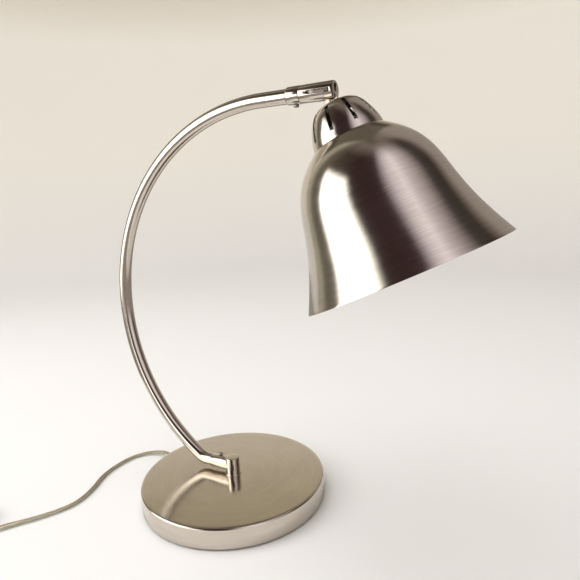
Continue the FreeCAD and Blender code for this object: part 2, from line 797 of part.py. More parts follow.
def plug_body():
    """Moulded two-pin plug: a ribbed neck that widens into a flat grip."""
    neck = Part.makeCone(cord_diameter / 2 + 0.9, 5.4, plug_neck_length, V(0, 0, 0), along_x)

    def section(x, width, depth, round_radius):
        box = Part.makeBox(1.0, width, depth, V(x, -width / 2, -depth / 2))
        edges = [e for e in box.Edges if e.BoundBox.XLength > 0.5]
        face = [f for f in box.makeFillet(round_radius, edges).Faces if f.BoundBox.XMax < x + 0.01][0]
        return face.OuterWire

    taper = 12.0
    grip_start = plug_neck_length - 2.0
    shoulder = Part.makeLoft([section(grip_start, 13.0, 11.0, 4.0),
                              section(grip_start + taper, plug_width, plug_depth, 4.0)], True)
    grip = Part.makeBox(plug_length - grip_start - taper, plug_width, plug_depth,
                        V(grip_start + taper, -plug_width / 2, -plug_depth / 2))
    grip = grip.makeFillet(4.0, [e for e in grip.Edges if e.BoundBox.XLength > 1])
    return neck.fuse([shoulder, grip])


def plug_blade(side):
    blade = Part.makeBox(blade_length, blade_thickness, blade_width,
                         V(plug_length, side * blade_spacing / 2 - blade_thickness / 2, -blade_width / 2))
    outer_end = [e for e in blade.Edges if e.BoundBox.XMin > plug_length + blade_length - 0.1]
    crosswise = [e for e in outer_end if e.BoundBox.YLength > 0.5]
    blade = blade.makeFillet(1.6, crosswise)
    return blade.cut(cylinder(1.5, V(plug_length + blade_length - 4.5, -20, 0), along_y, 40))


def lay_plug(shape):
    placed = shape.copy()
    last_run = V(*plug_entry) - V(*tail_route[-1])
    placed.rotate(V(0, 0, 0), up, math.degrees(math.atan2(last_run.y, last_run.x)))
    placed.translate(V(*plug_entry))
    return placed


exit_point = cord_way * bushing_tip + up * cord_exit_height
coil_entry = coil_at(-32.5, coil_outer - cord_diameter / 2, coil_bottom + cord_diameter / 2)
coil_leave = coil_at(-32.5, coil_outer - cord_diameter / 2, coil_top - cord_diameter / 2)
save("cord_lead", cord([tuple(exit_point), *lead_route, tuple(coil_entry)], "cord_lead"))
save("cord_coil", cord_coil())
save("cord_tail", cord([tuple(coil_leave), *tail_route, plug_entry], "cord_tail"))
save("coil_tie", coil_tie())
save("plug_body", lay_plug(plug_body()))
save("plug_blades", lay_plug(plug_blade(-1)), lay_plug(plug_blade(1)))
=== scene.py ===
import bpy
import bmesh
import math
from mathutils import Matrix, Vector


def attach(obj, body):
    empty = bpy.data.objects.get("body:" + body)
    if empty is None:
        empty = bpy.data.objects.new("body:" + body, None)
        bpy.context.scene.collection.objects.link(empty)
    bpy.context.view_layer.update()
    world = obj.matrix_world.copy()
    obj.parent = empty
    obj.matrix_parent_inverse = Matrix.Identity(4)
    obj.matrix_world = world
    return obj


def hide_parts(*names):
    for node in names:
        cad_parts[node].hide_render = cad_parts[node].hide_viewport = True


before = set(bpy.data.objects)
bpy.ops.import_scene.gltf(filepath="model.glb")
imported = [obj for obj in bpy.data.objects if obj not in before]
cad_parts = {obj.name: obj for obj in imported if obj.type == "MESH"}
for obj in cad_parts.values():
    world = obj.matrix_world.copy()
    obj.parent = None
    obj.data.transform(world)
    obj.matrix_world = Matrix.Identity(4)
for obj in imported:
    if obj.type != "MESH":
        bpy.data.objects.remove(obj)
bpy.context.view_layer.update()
scene = bpy.context.scene
up = Vector((0, 0, 1))
print("frame loaded")


# The lamp's own places, in metres. The stand is upright at the origin, and the shade hangs on the tilt pin.
places = {"armTop": 0.3896, "sleeveHeight": 0.0316, "pivot": (0.1273, 0.0, 0.3896), "shadeTilt": 23.5}


def turned(degrees, axis):
    return Matrix.Rotation(math.radians(degrees), 4, axis)


def moved(x, y, z):
    return Matrix.Translation((x, y, z))


uprightPlace = Matrix.Identity(4)
shadePlace = moved(*places["pivot"]) @ turned(-places["shadeTilt"], "Y")
headPlace = moved(0, 0, places["armTop"]) @ turned(90, "Y")
footPlace = moved(0, 0, places["sleeveHeight"]) @ turned(-90, "Y")


class Wire:  # an output socket that takes part in sums
    def __init__(self, sheet, socket):
        self.sheet = sheet
        self.socket = socket

    def also(self, name):
        return Wire(self.sheet, self.socket.node.outputs[name])

    def by(self, operation, other=0.0):
        return self.sheet.maths(operation, self, other)


def addOperator(word, operation):
    setattr(Wire, f"__{word}__", lambda self, other: self.sheet.maths(operation, self, other))
    setattr(Wire, f"__r{word}__", lambda self, other: self.sheet.maths(operation, other, self))


for word, operation in (("add", "ADD"), ("sub", "SUBTRACT"), ("mul", "MULTIPLY"), ("truediv", "DIVIDE"),
                        ("pow", "POWER")):
    addOperator(word, operation)


class Sheet:  # a node tree with one way to add a node
    def __init__(self, tree):
        self.tree = tree
        tree.nodes.clear()

    def node(self, kind, settings=None, values=None, out=0):
        made = self.tree.nodes.new(kind)
        for name, value in (settings or {}).items():
            if name == "stops":
                ramp = made.color_ramp
                while len(ramp.elements) < len(value):
                    ramp.elements.new(1.0)
                for stop, (where, colour) in zip(ramp.elements, value):
                    stop.position = where
                    stop.color = (*colour, 1)
            else:
                setattr(made, name, value)
        for key, value in (values or {}).items():
            slot = made.inputs[key]
            if isinstance(value, Wire):
                self.tree.links.new(value.socket, slot)
            else:
                slot.default_value = value
        return Wire(self, made.outputs[out]) if len(made.outputs) else made

    def shape(self, kind, values=None, **settings):
        return self.node("GeometryNode" + kind, settings, values)

    def maths(self, operation, a, b=0.0):
        return self.node("ShaderNodeMath", {"operation": operation}, {0: a, 1: b})

    def mix(self, share, a, b):  # colours
        first, second = ((*c, 1) if isinstance(c, tuple) else c for c in (a, b))
        return self.node("ShaderNodeMix", {"data_type": "RGBA"}, {0: share, 6: first, 7: second}, 2)

    def noise(self, vector, scale, detail=2.0, rough=0.5):
        return self.node("ShaderNodeTexNoise", None, {
            "Vector": vector, "Scale": scale, "Detail": detail, "Roughness": rough})

    def range(self, value, low, high):
        return self.node("ShaderNodeMapRange", None, {0: value, 1: low, 2: high})

    def join(self, x, y, z):
        return self.node("ShaderNodeCombineXYZ", None, {0: x, 1: y, 2: z})

    def split(self, vector):
        x = self.node("ShaderNodeSeparateXYZ", None, {0: vector})
        return x, x.also("Y"), x.also("Z")

    def point(self):  # a piece's own coordinates
        return self.node("ShaderNodeTexCoord", None, None, "Object")

    def roundMap(self):  # length along a swept piece and share of the turn round it
        return self.split(self.node("ShaderNodeUVMap", {"uv_map": "round"}))[:2]


finishes = {}


def startFinish(name):
    made = bpy.data.materials.new(name)
    made.use_nodes = True
    finishes[name] = made
    return Sheet(made.node_tree)


def endFinish(sheet, values, bumpHeight=None, bumpDistance=0.0):
    if bumpHeight is not None:
        values["Normal"] = sheet.node("ShaderNodeBump", None, {
            "Height": bumpHeight, "Distance": bumpDistance, "Strength": 1.0})
    shader = sheet.node("ShaderNodeBsdfPrincipled", None, values)
    sheet.node("ShaderNodeOutputMaterial", None, {"Surface": shader})


def glow(sheet, colour, strength):
    light = sheet.node("ShaderNodeEmission", None, {"Color": colour, "Strength": strength})
    sheet.node("ShaderNodeOutputMaterial", None, {"Surface": light})


def shaded(colour, share):
    return tuple(min(1.0, c * (1 + share)) for c in colour)


def twoTones(sheet, share, colour, swing):
    return sheet.mix(share, shaded(colour, -swing), shaded(colour, swing))


# Brushed nickel: hair-fine grooves run round each piece, so a highlight spreads across them and stays sharp
# along them. Dust is a few pale specks.
brushing = {
    "groovesPerMetre": 6000, "grooveDepth": 0.000017, "streaksPerMetre": 1500, "streakDepth": 0.000007,
    "around": 1.3, "colour": (0.62, 0.565, 0.495), "shade": 0.11, "roughness": 0.15, "roughnessSwing": 0.07,
    "dustPerMetre": 420, "dust": 0.30, "dustColour": (0.80, 0.77, 0.72),
}


def groovedNickel(sheet, change, awayX, awayY, along, point):
    look = {**brushing, **change}
    around = look["around"]

    def drawn(share, perMetre, detail, rough=0.5):
        return sheet.noise(sheet.join(awayX * share, awayY * share, along * perMetre), 1.0, detail, rough)

    grooves = drawn(around, look["groovesPerMetre"], 1.0)
    streaks = drawn(around * 2, look["streaksPerMetre"], 3.0, 0.6)
    broad = drawn(around, 140.0, 2.0)
    cloud = sheet.noise(point, 26.0, 3.0)
    lit = sheet.range(streaks * 0.5 + broad * 0.2 + cloud * 0.3, 0.34, 0.66)
    metal = twoTones(sheet, lit, look["colour"], look["shade"])
    cells = sheet.node("ShaderNodeTexVoronoi", {"feature": "F1"}, {
        "Vector": point, "Scale": look["dustPerMetre"]})
    where = sheet.noise(point, 60.0, 2.0)
    speck = (1 - sheet.range(cells, 0.04, 0.09)) * sheet.range(where, 0.54, 0.60) * look["dust"]
    uneven = (streaks - 0.5) * look["roughnessSwing"] + (cloud - 0.5) * look["roughnessSwing"]
    height = grooves * look["grooveDepth"] + streaks * look["streakDepth"]
    endFinish(sheet, {"Base Color": sheet.mix(speck, metal, look["dustColour"]), "Metallic": 1.0,
                      "Roughness": look["roughness"] + uneven + speck * 0.3}, height, 1.0)


def brushedNickel(name, place, **change):
    sheet = startFinish(name)
    point = sheet.node("ShaderNodeMapping", {"vector_type": "TEXTURE"}, {
        "Vector": sheet.point(), "Location": tuple(place.to_translation()),
        "Rotation": tuple(place.to_euler())})
    x, y, z = sheet.split(point)
    radius = (x * x + y * y) ** 0.5
    safe = radius + 0.00001  # never zero
    groovedNickel(sheet, change, x / safe, y / safe, radius + z, point)


def brushedTube(name, **change):  # the arm, whose map follows its bends
    sheet = startFinish(name)
    length, turn = sheet.roundMap()
    angle = turn * (2 * math.pi)
    ringX, ringY = angle.by("COSINE"), angle.by("SINE")
    groovedNickel(sheet, change, ringX, ringY, length, sheet.join(ringX * 0.01, ringY * 0.01, length))


def plainMetal(name, colour, roughness, wear=0.15):  # turned, plated or formed small pieces
    sheet = startFinish(name)
    point = sheet.point()
    cloud = sheet.noise(point, 400.0, 3.0)
    stain = sheet.noise(point, 48.0, 2.0)
    metal = twoTones(sheet, sheet.range(cloud * 0.5 + stain * 0.5, 0.38, 0.62), colour, wear)
    endFinish(sheet, {"Base Color": metal, "Metallic": 1.0, "Roughness": roughness + (cloud - 0.5) * 0.2},
              cloud, 0.00002)


def plainMoulding(name, colour, roughness, grain=900.0, bump=0.00003):
    sheet = startFinish(name)
    point = sheet.point()
    fine = sheet.noise(point, grain, 2.0)
    broad = sheet.noise(point, 45.0, 2.0)
    body = twoTones(sheet, sheet.range(fine * 0.4 + broad * 0.6, 0.36, 0.64), colour, 0.12)
    endFinish(sheet, {"Base Color": body, "Roughness": roughness + (broad - 0.5) * 0.15}, fine, bump)


def clearPlastic(name, tint):
    sheet = startFinish(name)
    haze = sheet.noise(sheet.point(), 160.0, 2.0)
    body = sheet.mix(sheet.range(haze, 0.35, 0.65), shaded(tint, -0.05), tint)
    endFinish(sheet, {"Base Color": body, "Roughness": 0.08 + (haze - 0.5) * 0.08, "IOR": 1.45,
                      "Transmission Weight": 1.0}, haze, 0.00004)


def strandMetal(name, colour):  # bunched fine wire: strands on a slant, with painted shade darkening the colour between them
    sheet = startFinish(name)
    length, turn = sheet.roundMap()
    lay = 0.011
    wave = ((turn * 7.0 + length / lay) * (2 * math.pi)).by("SINE")
    crown = sheet.range(wave, -0.9, 0.6)
    # Between the strands the colour falls to 0.28 of itself: painted shade in the grooves.
    metal = sheet.mix(crown, tuple(c * 0.28 for c in colour), colour)
    endFinish(sheet, {"Base Color": metal, "Metallic": 1.0, "Roughness": 0.42 - crown * 0.14},
              crown, 0.00012)


def paint(name, colour):  # sprayed enamel with a faint orange-peel
    sheet = startFinish(name)
    point = sheet.point()
    peel = sheet.noise(point, 520.0, 2.0)
    yellowing = sheet.range(sheet.noise(point, 14.0, 2.0), 0.35, 0.65)
    endFinish(sheet, {"Base Color": sheet.mix(yellowing, tuple(c * 0.965 for c in colour), colour),
                      "Roughness": 0.32 + (peel - 0.5) * 0.12, "Coat Weight": 0.25, "Coat Roughness": 0.12},
              peel, 0.00005)


def feltFinish(name, colour):
    sheet = startFinish(name)
    point = sheet.point()
    fibre = sheet.noise(point, 1500.0, 4.0, 0.7)
    lump = sheet.noise(point, 120.0, 2.0)
    share = sheet.range(fibre * 0.7 + lump * 0.3, 0.35, 0.65)
    body = sheet.mix(share, tuple(c * 0.6 for c in colour), tuple(c * 1.5 for c in colour))
    endFinish(sheet, {"Base Color": body, "Roughness": 0.95}, fibre, 0.0002)


def frostedGlass(name):
    sheet = startFinish(name)
    point = sheet.point()
    frost = sheet.noise(point, 700.0, 2.0)
    dust = sheet.range(sheet.noise(point, 60.0, 3.0), 0.4, 0.7)
    endFinish(sheet, {"Base Color": sheet.mix(dust, (0.93, 0.925, 0.90), (0.86, 0.85, 0.81)),
                      "Roughness": 0.36 + (frost - 0.5) * 0.1, "IOR": 1.45, "Transmission Weight": 0.35,
                      "Coat Weight": 0.5, "Coat Roughness": 0.08}, frost, 0.00002)


polished = {"grooveDepth": 0.000005, "dust": 0.0}
brushedNickel("baseNickel", uprightPlace, grooveDepth=0.000008)
brushedNickel("shadeNickel", shadePlace)
brushedNickel("capNickel", shadePlace, dust=0.0)
brushedNickel("headNickel", headPlace, **polished)
brushedNickel("postNickel", uprightPlace, **polished)
brushedNickel("sleeveNickel", footPlace, **polished)
brushedNickel("linkNickel", shadePlace, **polished)
brushedTube("armNickel", **polished)
# The cap's inward faces are painted near-black: a painted shade for the dark inside the dome.
plainMetal("capInsidePaintedShade", (0.045, 0.038, 0.034), 0.55)
paint("whiteEnamel", (0.86, 0.85, 0.82))
plainMetal("screwSteel", (0.30, 0.28, 0.26), 0.34)
plainMetal("zincPlate", (0.66, 0.66, 0.63), 0.32)
plainMoulding("ironCasting", (0.10, 0.10, 0.10), 0.7, 500.0, 0.0002)
feltFinish("blackFelt", (0.05, 0.05, 0.052))
plainMetal("holderMetal", (0.72, 0.70, 0.66), 0.28, 0.06)
plainMoulding("phenolic", (0.035, 0.03, 0.027), 0.3)
plainMoulding("keyBlack", (0.028, 0.027, 0.027), 0.42)
plainMetal("brass", (0.78, 0.60, 0.32), 0.27, 0.08)
plainMetal("bulbMetal", (0.74, 0.74, 0.73), 0.24, 0.05)
frostedGlass("bulbFrost")
clearPlastic("clearVinyl", (0.90, 0.93, 0.78))
strandMetal("copperStrands", (0.86, 0.46, 0.28))
strandMetal("tinnedStrands", (0.80, 0.78, 0.70))
plainMoulding("vinylLead", (0.62, 0.55, 0.40), 0.25)
plainMoulding("blackStrap", (0.04, 0.04, 0.042), 0.5)
print("finishes made:", len(finishes))


def newPiece(name, mesh, body, finish, nodes=(), sharp=35.0):
    piece = bpy.data.objects.new(name, mesh)
    scene.collection.objects.link(piece)
    if finish is not None:
        mesh.materials.clear()
        for one in finish if isinstance(finish, list) else [finish]:
            mesh.materials.append(finishes[one])
    if sharp is not None:
        mesh.polygons.foreach_set("use_smooth", [True] * len(mesh.polygons))
        mesh.set_sharp_from_angle(angle=math.radians(sharp))
    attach(piece, body)
    if nodes:
        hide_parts(*nodes)
    return piece


def facedOutward(mesh):
    shape = bmesh.new()
    shape.from_mesh(mesh)
    bmesh.ops.recalc_face_normals(shape, faces=shape.faces)
    shape.to_mesh(mesh)
    shape.free()
    return mesh


def meshFrom(name, points, faces, place=None):
    mesh = bpy.data.meshes.new(name)
    mesh.from_pydata([tuple(p) for p in points], [], faces)
    facedOutward(mesh)
    if place is not None:
        mesh.transform(place)
    return mesh


def joined(name, meshes):
    shape = bmesh.new()
    for one in meshes:
        shape.from_mesh(one)
    mesh = bpy.data.meshes.new(name)
    shape.to_mesh(mesh)
    shape.free()
    return mesh


def finished(piece, name):  # the evaluated object as a plain mesh
    graph = bpy.context.evaluated_depsgraph_get()
    mesh = bpy.data.meshes.new_from_object(piece.evaluated_get(graph))
    mesh.name = name
    bpy.data.objects.remove(piece)
    return mesh


def softCorners(outline, radius, steps=3, closed=True):
    rounded = []
    count = len(outline)
    for k, corner in enumerate(outline):
        here = Vector(corner)
        if not closed and k in (0, count - 1):
            rounded.append(here)
            continue
        before = Vector(outline[k - 1]) - here
        after = Vector(outline[(k + 1) % count]) - here
        turn = math.pi - before.angle(after)
        cut = min(radius * math.tan(turn / 2), 0.45 * before.length, 0.45 * after.length)
        if turn < math.radians(12) or cut < 1e-6 or here.x < 1e-6:
            rounded.append(here)
            continue
        start, stop = here + before.normalized() * cut, here + after.normalized() * cut
        for step in range(steps + 1):
            t = step / steps
            rounded.append(start.lerp(here, t).lerp(here.lerp(stop, t), t))
    return rounded


def ringOf(radius, height, steps):
    turns = [2 * math.pi * k / steps for k in range(steps)]
    reach = radius if callable(radius) else lambda angle: radius  # a row that isn't round, such as a hexagon
    return [(reach(a) * math.cos(a), reach(a) * math.sin(a), height) for a in turns]


def turnedMesh(name, outline, place=None, steps=96, closed=True):  # outline of radius and height, in metres
    points = []
    rows = []
    for radius, height in outline:
        ring = [(0, 0, height)] if not callable(radius) and radius < 1e-7 else ringOf(radius, height, steps)
        rows.append([len(points) + k for k in range(len(ring))])
        points += ring
    faces = []
    for a, b in list(zip(rows, rows[1:])) + ([(rows[-1], rows[0])] if closed else []):
        for k in range(steps):
            n = (k + 1) % steps
            if len(a) == 1 and len(b) == 1:
                break
            if len(a) == 1:
                faces.append((a[0], b[k], b[n]))
            elif len(b) == 1:
                faces.append((a[k], b[0], a[n]))
            else:
                faces.append((a[k], b[k], b[n], a[n]))
    return meshFrom(name, points, faces, place)


def millimetres(*pairs):
    return [(a / 1000, b / 1000) for a, b in pairs]


def quads(rows, count, closed=True):  # faces between rows of points
    faces = []
    for start in range(0, (rows - 1) * count, count):
        for k in range(count if closed else count - 1):
            n = (k + 1) % count
            faces.append((start + k, start + n, start + count + n, start + count + k))
    return faces


def distances(line):  # how far along the line each point is
    walked = [0.0]
    for a, b in zip(line, line[1:]):
        walked.append(walked[-1] + (b - a).length)
    return walked


def sweptMesh(name, line, section, frames, ends=True):  # a section carried along a line of points
    count = len(section)
    points = [here + side * a + rise * b for here, (side, rise) in zip(line, frames) for a, b in section]
    faces = quads(len(line), count)
    if ends:
        faces += [tuple(range(count))[::-1], tuple(len(points) - count + k for k in range(count))]
    mesh = bpy.data.meshes.new(name)
    mesh.from_pydata([tuple(p) for p in points], [], faces)
    walked = distances(line)
    sheet = mesh.uv_layers.new(name="round")
    for face in mesh.polygons:
        if face.index >= (len(line) - 1) * count:
            continue
        last = face.index % count == count - 1
        for corner, vertex in zip(face.loop_indices, face.vertices):
            around = vertex % count
            share = (count if last and around == 0 else around) / count
            sheet.data[corner].uv = (walked[vertex // count], share)
    return facedOutward(mesh)


def circleSection(radius, sides):
    return [(x, y) for x, y, level in ringOf(radius, 0, sides)]


# Camera at the photograph's place: lens in mm for a 36 mm wide sensor, angles in degrees.
view = {"lens": 33.41, "place": (0.3253, -0.4133, 0.3171), "heading": -30.55, "down": 11.08, "roll": -3.11}


def setCamera():
    turn, down, roll = (math.radians(view[k]) for k in ("heading", "down", "roll"))
    forward = Vector((math.sin(turn) * math.cos(down), math.cos(turn) * math.cos(down), -math.sin(down)))
    level = Vector((math.cos(turn), -math.sin(turn), 0))
    upright = level.cross(forward)
    right = level * math.cos(roll) + upright * math.sin(roll)
    top = upright * math.cos(roll) - level * math.sin(roll)
    data = bpy.data.cameras.new("camera")
    data.lens = view["lens"]
    data.sensor_width = 36
    data.clip_start = 0.01
    camera = bpy.data.objects.new("camera", data)
    scene.collection.objects.link(camera)
    facing = Matrix((right, top, -forward)).transposed().to_4x4()
    camera.matrix_world = moved(*view["place"]) @ facing
    scene.camera = camera


setCamera()
print("camera set")


# Mains lead: a flat twin lead that lies flat on the table and stands on edge in its coil.
lead = {
    "width": 0.0054,
    "thickness": 0.0027,
    "route": [(-112.49, 23.91, 6.2), (-122.2, 26.0, 6.2), (-135.5, 27.2, 3.4), (-150.5, 20.5, 1.6),
              (-160, 1, 1.5), (-158.5, -36, 1.5), (-143.5, -65.5, 1.5), (-138, -94, 1.5),
              (-151.5, -123, 1.7), (-168, -147, 2.4), (-181, -172, 3.5)],
    "coilCentre": (-223.2, -178.4),
    "coilStart": -32.5,
    "coilOuter": 37.5,
    "lanePitch": 3.0,
    "lowerTurns": 4,
    "upperTurns": 3,
    "layers": (3.6, 9.0),
    "pointsPerTurn": 16,
    "tail": [(-205.3, -218.2, 8.3), (-220.2, -226.3, 7.6), (-237.2, -226.2, 8.3), (-251.1, -218.4, 8.5)],
    "strand": 0.00066,
}


def leadPoints():
    perTurn, pitch = lead["pointsPerTurn"], lead["lanePitch"]
    reach = 1 / math.cos(math.pi / perTurn)  # the spline cuts inside its control points by this much
    lower, upper = lead["lowerTurns"], lead["upperTurns"]
    inner = lead["coilOuter"] - pitch * (lower - 1)
    lowLayer, highLayer = lead["layers"]
    centreX, centreY = lead["coilCentre"]
    points = list(lead["route"])
    for k in range((lower + upper) * perTurn + 1):
        turn = k / perTurn
        ease = min(max((turn - lower + 0.5) / 0.5, 0.0), 1.0)
        climb = ease * ease * (3 - 2 * ease)
        if turn <= lower - 1:
            radius = lead["coilOuter"] - pitch * turn
        elif turn <= lower:
            radius = inner
        else:
            radius = inner + pitch * (turn - lower) * 3 / upper
        radius += 0.35 * math.sin(2.3 * turn + 1.0)  # wound by hand
        angle = math.radians(lead["coilStart"] - 360 * turn)
        points.append((centreX + radius * reach * math.cos(angle),
                       centreY + radius * reach * math.sin(angle),
                       lowLayer + (highLayer - lowLayer) * climb))
    points += lead["tail"]
    return [Vector(p) / 1000 for p in points]


def splineLine(points):
    curve = bpy.data.curves.new("leadLine", "CURVE")
    curve.dimensions = "3D"
    run = curve.splines.new("NURBS")
    run.points.add(len(points) - 1)
    for spot, place in zip(run.points, points):
        spot.co = (*place, 1)
    run.order_u = 3
    run.use_endpoint_u = True
    run.resolution_u = 9
    holder = bpy.data.objects.new("leadLine", curve)
    scene.collection.objects.link(holder)
    bpy.context.view_layer.update()
    mesh = bpy.data.meshes.new_from_object(holder)
    line = [v.co.copy() for v in mesh.vertices]
    bpy.data.objects.remove(holder)
    spaced = [line[0]]
    for spot in line[1:]:
        if (spot - spaced[-1]).length > 0.0002:
            spaced.append(spot)
    return spaced


def leadFrames(line):  # the side and thickness directions of the flat lead at each point
    walked = distances(line)
    frames = []
    for k in range(len(line)):
        along = (line[min(k + 1, len(line) - 1)] - line[max(k - 1, 0)]).normalized()
        side = along.cross(up).normalized()
        rise = side.cross(along)
        ontoEdge = min(max((walked[k] - 0.205) / 0.065, 0.0), 1.0)
        ontoFlat = min(max((walked[k] - (walked[-1] - 0.062)) / 0.055, 0.0), 1.0)
        lean = math.radians(90) * (ontoEdge - ontoFlat)
        c, s = math.cos(lean), math.sin(lean)
        frames.append((side * c + rise * s, rise * c - side * s))
    return frames, walked[-1]


def twinSection():
    lobe = lead["thickness"] / 2
    centre = lead["width"] / 2 - lobe
    angles = [math.radians(a) for a in (-128, -100, -70, -40, -12, 12, 40, 70, 100, 128)]
    right = [(centre + lobe * math.cos(a), lobe * math.sin(a)) for a in angles]
    return right + [(-x, -y) for x, y in right]


def makeLead():
    line = splineLine(leadPoints())
    frames, length = leadFrames(line)
    jacket = newPiece("leadJacket", sweptMesh("leadJacket", line, twinSection(), frames), "stand",
                      "clearVinyl", ["cord_lead", "cord_coil", "cord_tail"], 60)
    inside = line[1:-1:2]
    insideFrames = frames[1:-1:2]
    centre = lead["width"] / 2 - lead["thickness"] / 2
    wires = []
    for name, way, finish in (("copperWire", 1, "copperStrands"), ("tinnedWire", -1, "tinnedStrands")):
        middle = [spot + side * (centre * way) for spot, (side, rise) in zip(inside, insideFrames)]
        mesh = sweptMesh(name, middle, circleSection(lead["strand"], 8), insideFrames)
        wires.append(newPiece(name, mesh, "stand", finish, (), 80))
    print("lead: length", round(length, 3), "m,", len(line), "rings")
    return jacket, wires, line, length


leadJacket, leadWires, leadLine, leadLength = makeLead()


def smoothLine(points, perSpan=10):  # a natural cubic through the points, by the distance between them
    spots = [Vector(p) for p in points]
    count = len(spots)
    knots = distances(spots)
    gaps = [b - a for a, b in zip(knots, knots[1:])]
    bends = [Vector((0, 0, 0)) for _ in spots]
    factors, rests = [0.0] * count, [Vector((0, 0, 0)) for _ in spots]
    for k in range(1, count - 1):
        pull = 6 * ((spots[k + 1] - spots[k]) / gaps[k] - (spots[k] - spots[k - 1]) / gaps[k - 1])
        weight = 2 * (gaps[k - 1] + gaps[k]) - gaps[k - 1] * factors[k - 1]
        factors[k] = gaps[k] / weight
        rests[k] = (pull - gaps[k - 1] * rests[k - 1]) / weight
    for k in range(count - 2, 0, -1):
        bends[k] = rests[k] - factors[k] * bends[k + 1]
    line = []
    for k, gap in enumerate(gaps):
        for step in range(perSpan):
            a, b = 1 - step / perSpan, step / perSpan
            line.append(spots[k] * a + spots[k + 1] * b
                        + ((a ** 3 - a) * bends[k] + (b ** 3 - b) * bends[k + 1]) * gap * gap / 6)
    return line + [spots[-1]]


def treeWith(name, inputs):  # a geometry tree with named inputs; one without a value takes a material
    kinds = {int: "NodeSocketInt", float: "NodeSocketFloat", type(None): "NodeSocketMaterial"}
    tree = bpy.data.node_groups.new(name, "GeometryNodeTree")
    tree.interface.new_socket("Geometry", in_out="INPUT", socket_type="NodeSocketGeometry")
    for label, value in inputs.items():
        socket = tree.interface.new_socket(label, in_out="INPUT", socket_type=kinds[type(value)])
        if value is not None:
            socket.default_value = value
    tree.interface.new_socket("Geometry", in_out="OUTPUT", socket_type="NodeSocketGeometry")
    sheet = Sheet(tree)
    return tree, sheet, sheet.node("NodeGroupInput")


def endTree(sheet, geometry, start, inside=None):
    whole = sheet.shape("RealizeInstances", {"Geometry": geometry})
    coated = sheet.shape("SetMaterial", {"Geometry": whole, "Material": start.also("Finish")})
    if inside is not None:
        coated = sheet.shape("SetMaterial", {
            "Geometry": coated, "Selection": inside, "Material": start.also("Inside Finish")})
    sheet.node("NodeGroupOutput", None, {0: coated})


def grown(name, tree, data, values):  # runs a tree on some data and gives the result as a plain mesh
    holder = bpy.data.objects.new(name, data)
    scene.collection.objects.link(holder)
    step = holder.modifiers.new(name, "NODES")
    step.node_group = tree
    for socket in tree.interface.items_tree:
        if socket.in_out == "INPUT" and socket.name in values:
            step[socket.identifier] = values[socket.name]
    bpy.context.view_layer.update()
    return finished(holder, name)


def outlineCurve(name, line):
    curve = bpy.data.curves.new(name, "CURVE")
    curve.dimensions = "3D"
    run = curve.splines.new("POLY")
    run.points.add(len(line) - 1)
    for spot, (radius, height) in zip(run.points, line):
        spot.co = (radius, 0, height, 1)
    return curve


def makeSpinTree():  # lays a sheet of columns and rows round the axis, one row for each point of the outline
    tree, sheet, start = treeWith("spinOutline", {
        "Columns": 160, "Rows": 100, "Inside Finish From": 40.0, "Inside Finish To": 80.0, "Finish": None, "Inside Finish": None})
    rows = start.also("Rows")
    grid = sheet.shape("MeshGrid", {
        "Size X": 1.0, "Size Y": 1.0, "Vertices X": start.also("Columns") + 1.0, "Vertices Y": rows})
    across, along, flat = sheet.split(sheet.shape("InputPosition"))
    row = ((along + 0.5) * (rows - 1.0)).by("ROUND")
    numbered = sheet.shape("StoreNamedAttribute", {"Geometry": grid, "Name": "row", "Value": row},
                           data_type="FLOAT", domain="POINT")
    kept = sheet.shape("InputNamedAttribute", {"Name": "row"}, data_type="FLOAT")
    outline = sheet.shape("SampleIndex", {
        "Geometry": start, "Value": sheet.shape("InputPosition"), "Index": kept},
        data_type="FLOAT_VECTOR", domain="POINT")
    radius, aside, height = sheet.split(outline)
    turn = (across + 0.5) * (2 * math.pi)
    laid = sheet.shape("SetPosition", {
        "Geometry": numbered,
        "Position": sheet.join(radius * turn.by("COSINE"), radius * turn.by("SINE"), height)})
    shell = sheet.shape("MergeByDistance", {"Geometry": laid, "Distance": 0.000002})
    started = kept.by("GREATER_THAN", start.also("Inside Finish From"))
    ended = kept.by("GREATER_THAN", start.also("Inside Finish To"))
    endTree(sheet, shell, start, started * (1.0 - ended))
    return tree


def makeVentTree():  # cuts a ring of upright vents through a spun shell and puts the inside finish on its inward faces; on the cap that finish is a painted shade
    tree, sheet, start = treeWith("ventRing", {
        "Vents": 9, "Vent Width": 0.003, "Vent Height": 0.02, "Vent Middle": 0.0, "Vent Depth": 0.03,
        "Vent Inside": 0.008, "First Angle": 0.0, "Finish": None, "Inside Finish": None})
    vents, depth = start.also("Vents"), start.also("Vent Depth")
    cutter = sheet.shape("MeshCube", {
        "Size": sheet.join(depth, start.also("Vent Width"), start.also("Vent Height"))})
    cutter = sheet.shape("Transform", {
        "Geometry": cutter,
        "Translation": sheet.join(start.also("Vent Inside") + depth * 0.5, 0.0, start.also("Vent Middle"))})
    points = sheet.shape("MeshLine", {"Count": vents, "Offset": (0, 0, 0)})
    angle = start.also("First Angle") - sheet.shape("InputIndex") * (2 * math.pi) / vents
    ring = sheet.shape("InstanceOnPoints", {
        "Points": points, "Instance": cutter, "Rotation": sheet.join(0.0, 0.0, angle)})
    ring = sheet.shape("RealizeInstances", {"Geometry": ring})
    pierced = sheet.shape("MeshBoolean", {"Mesh 1": start, "Mesh 2": ring}, operation="DIFFERENCE",
                          solver="EXACT")
    x, y, z = sheet.split(sheet.shape("InputPosition"))
    toX, toY, toZ = sheet.split(sheet.shape("InputNormal"))
    outward = (x * toX + y * toY) / (x * x + y ** 2.0) ** 0.5
    endTree(sheet, pierced, start, (outward + toZ * 0.6).by("LESS_THAN", -0.3))
    return tree


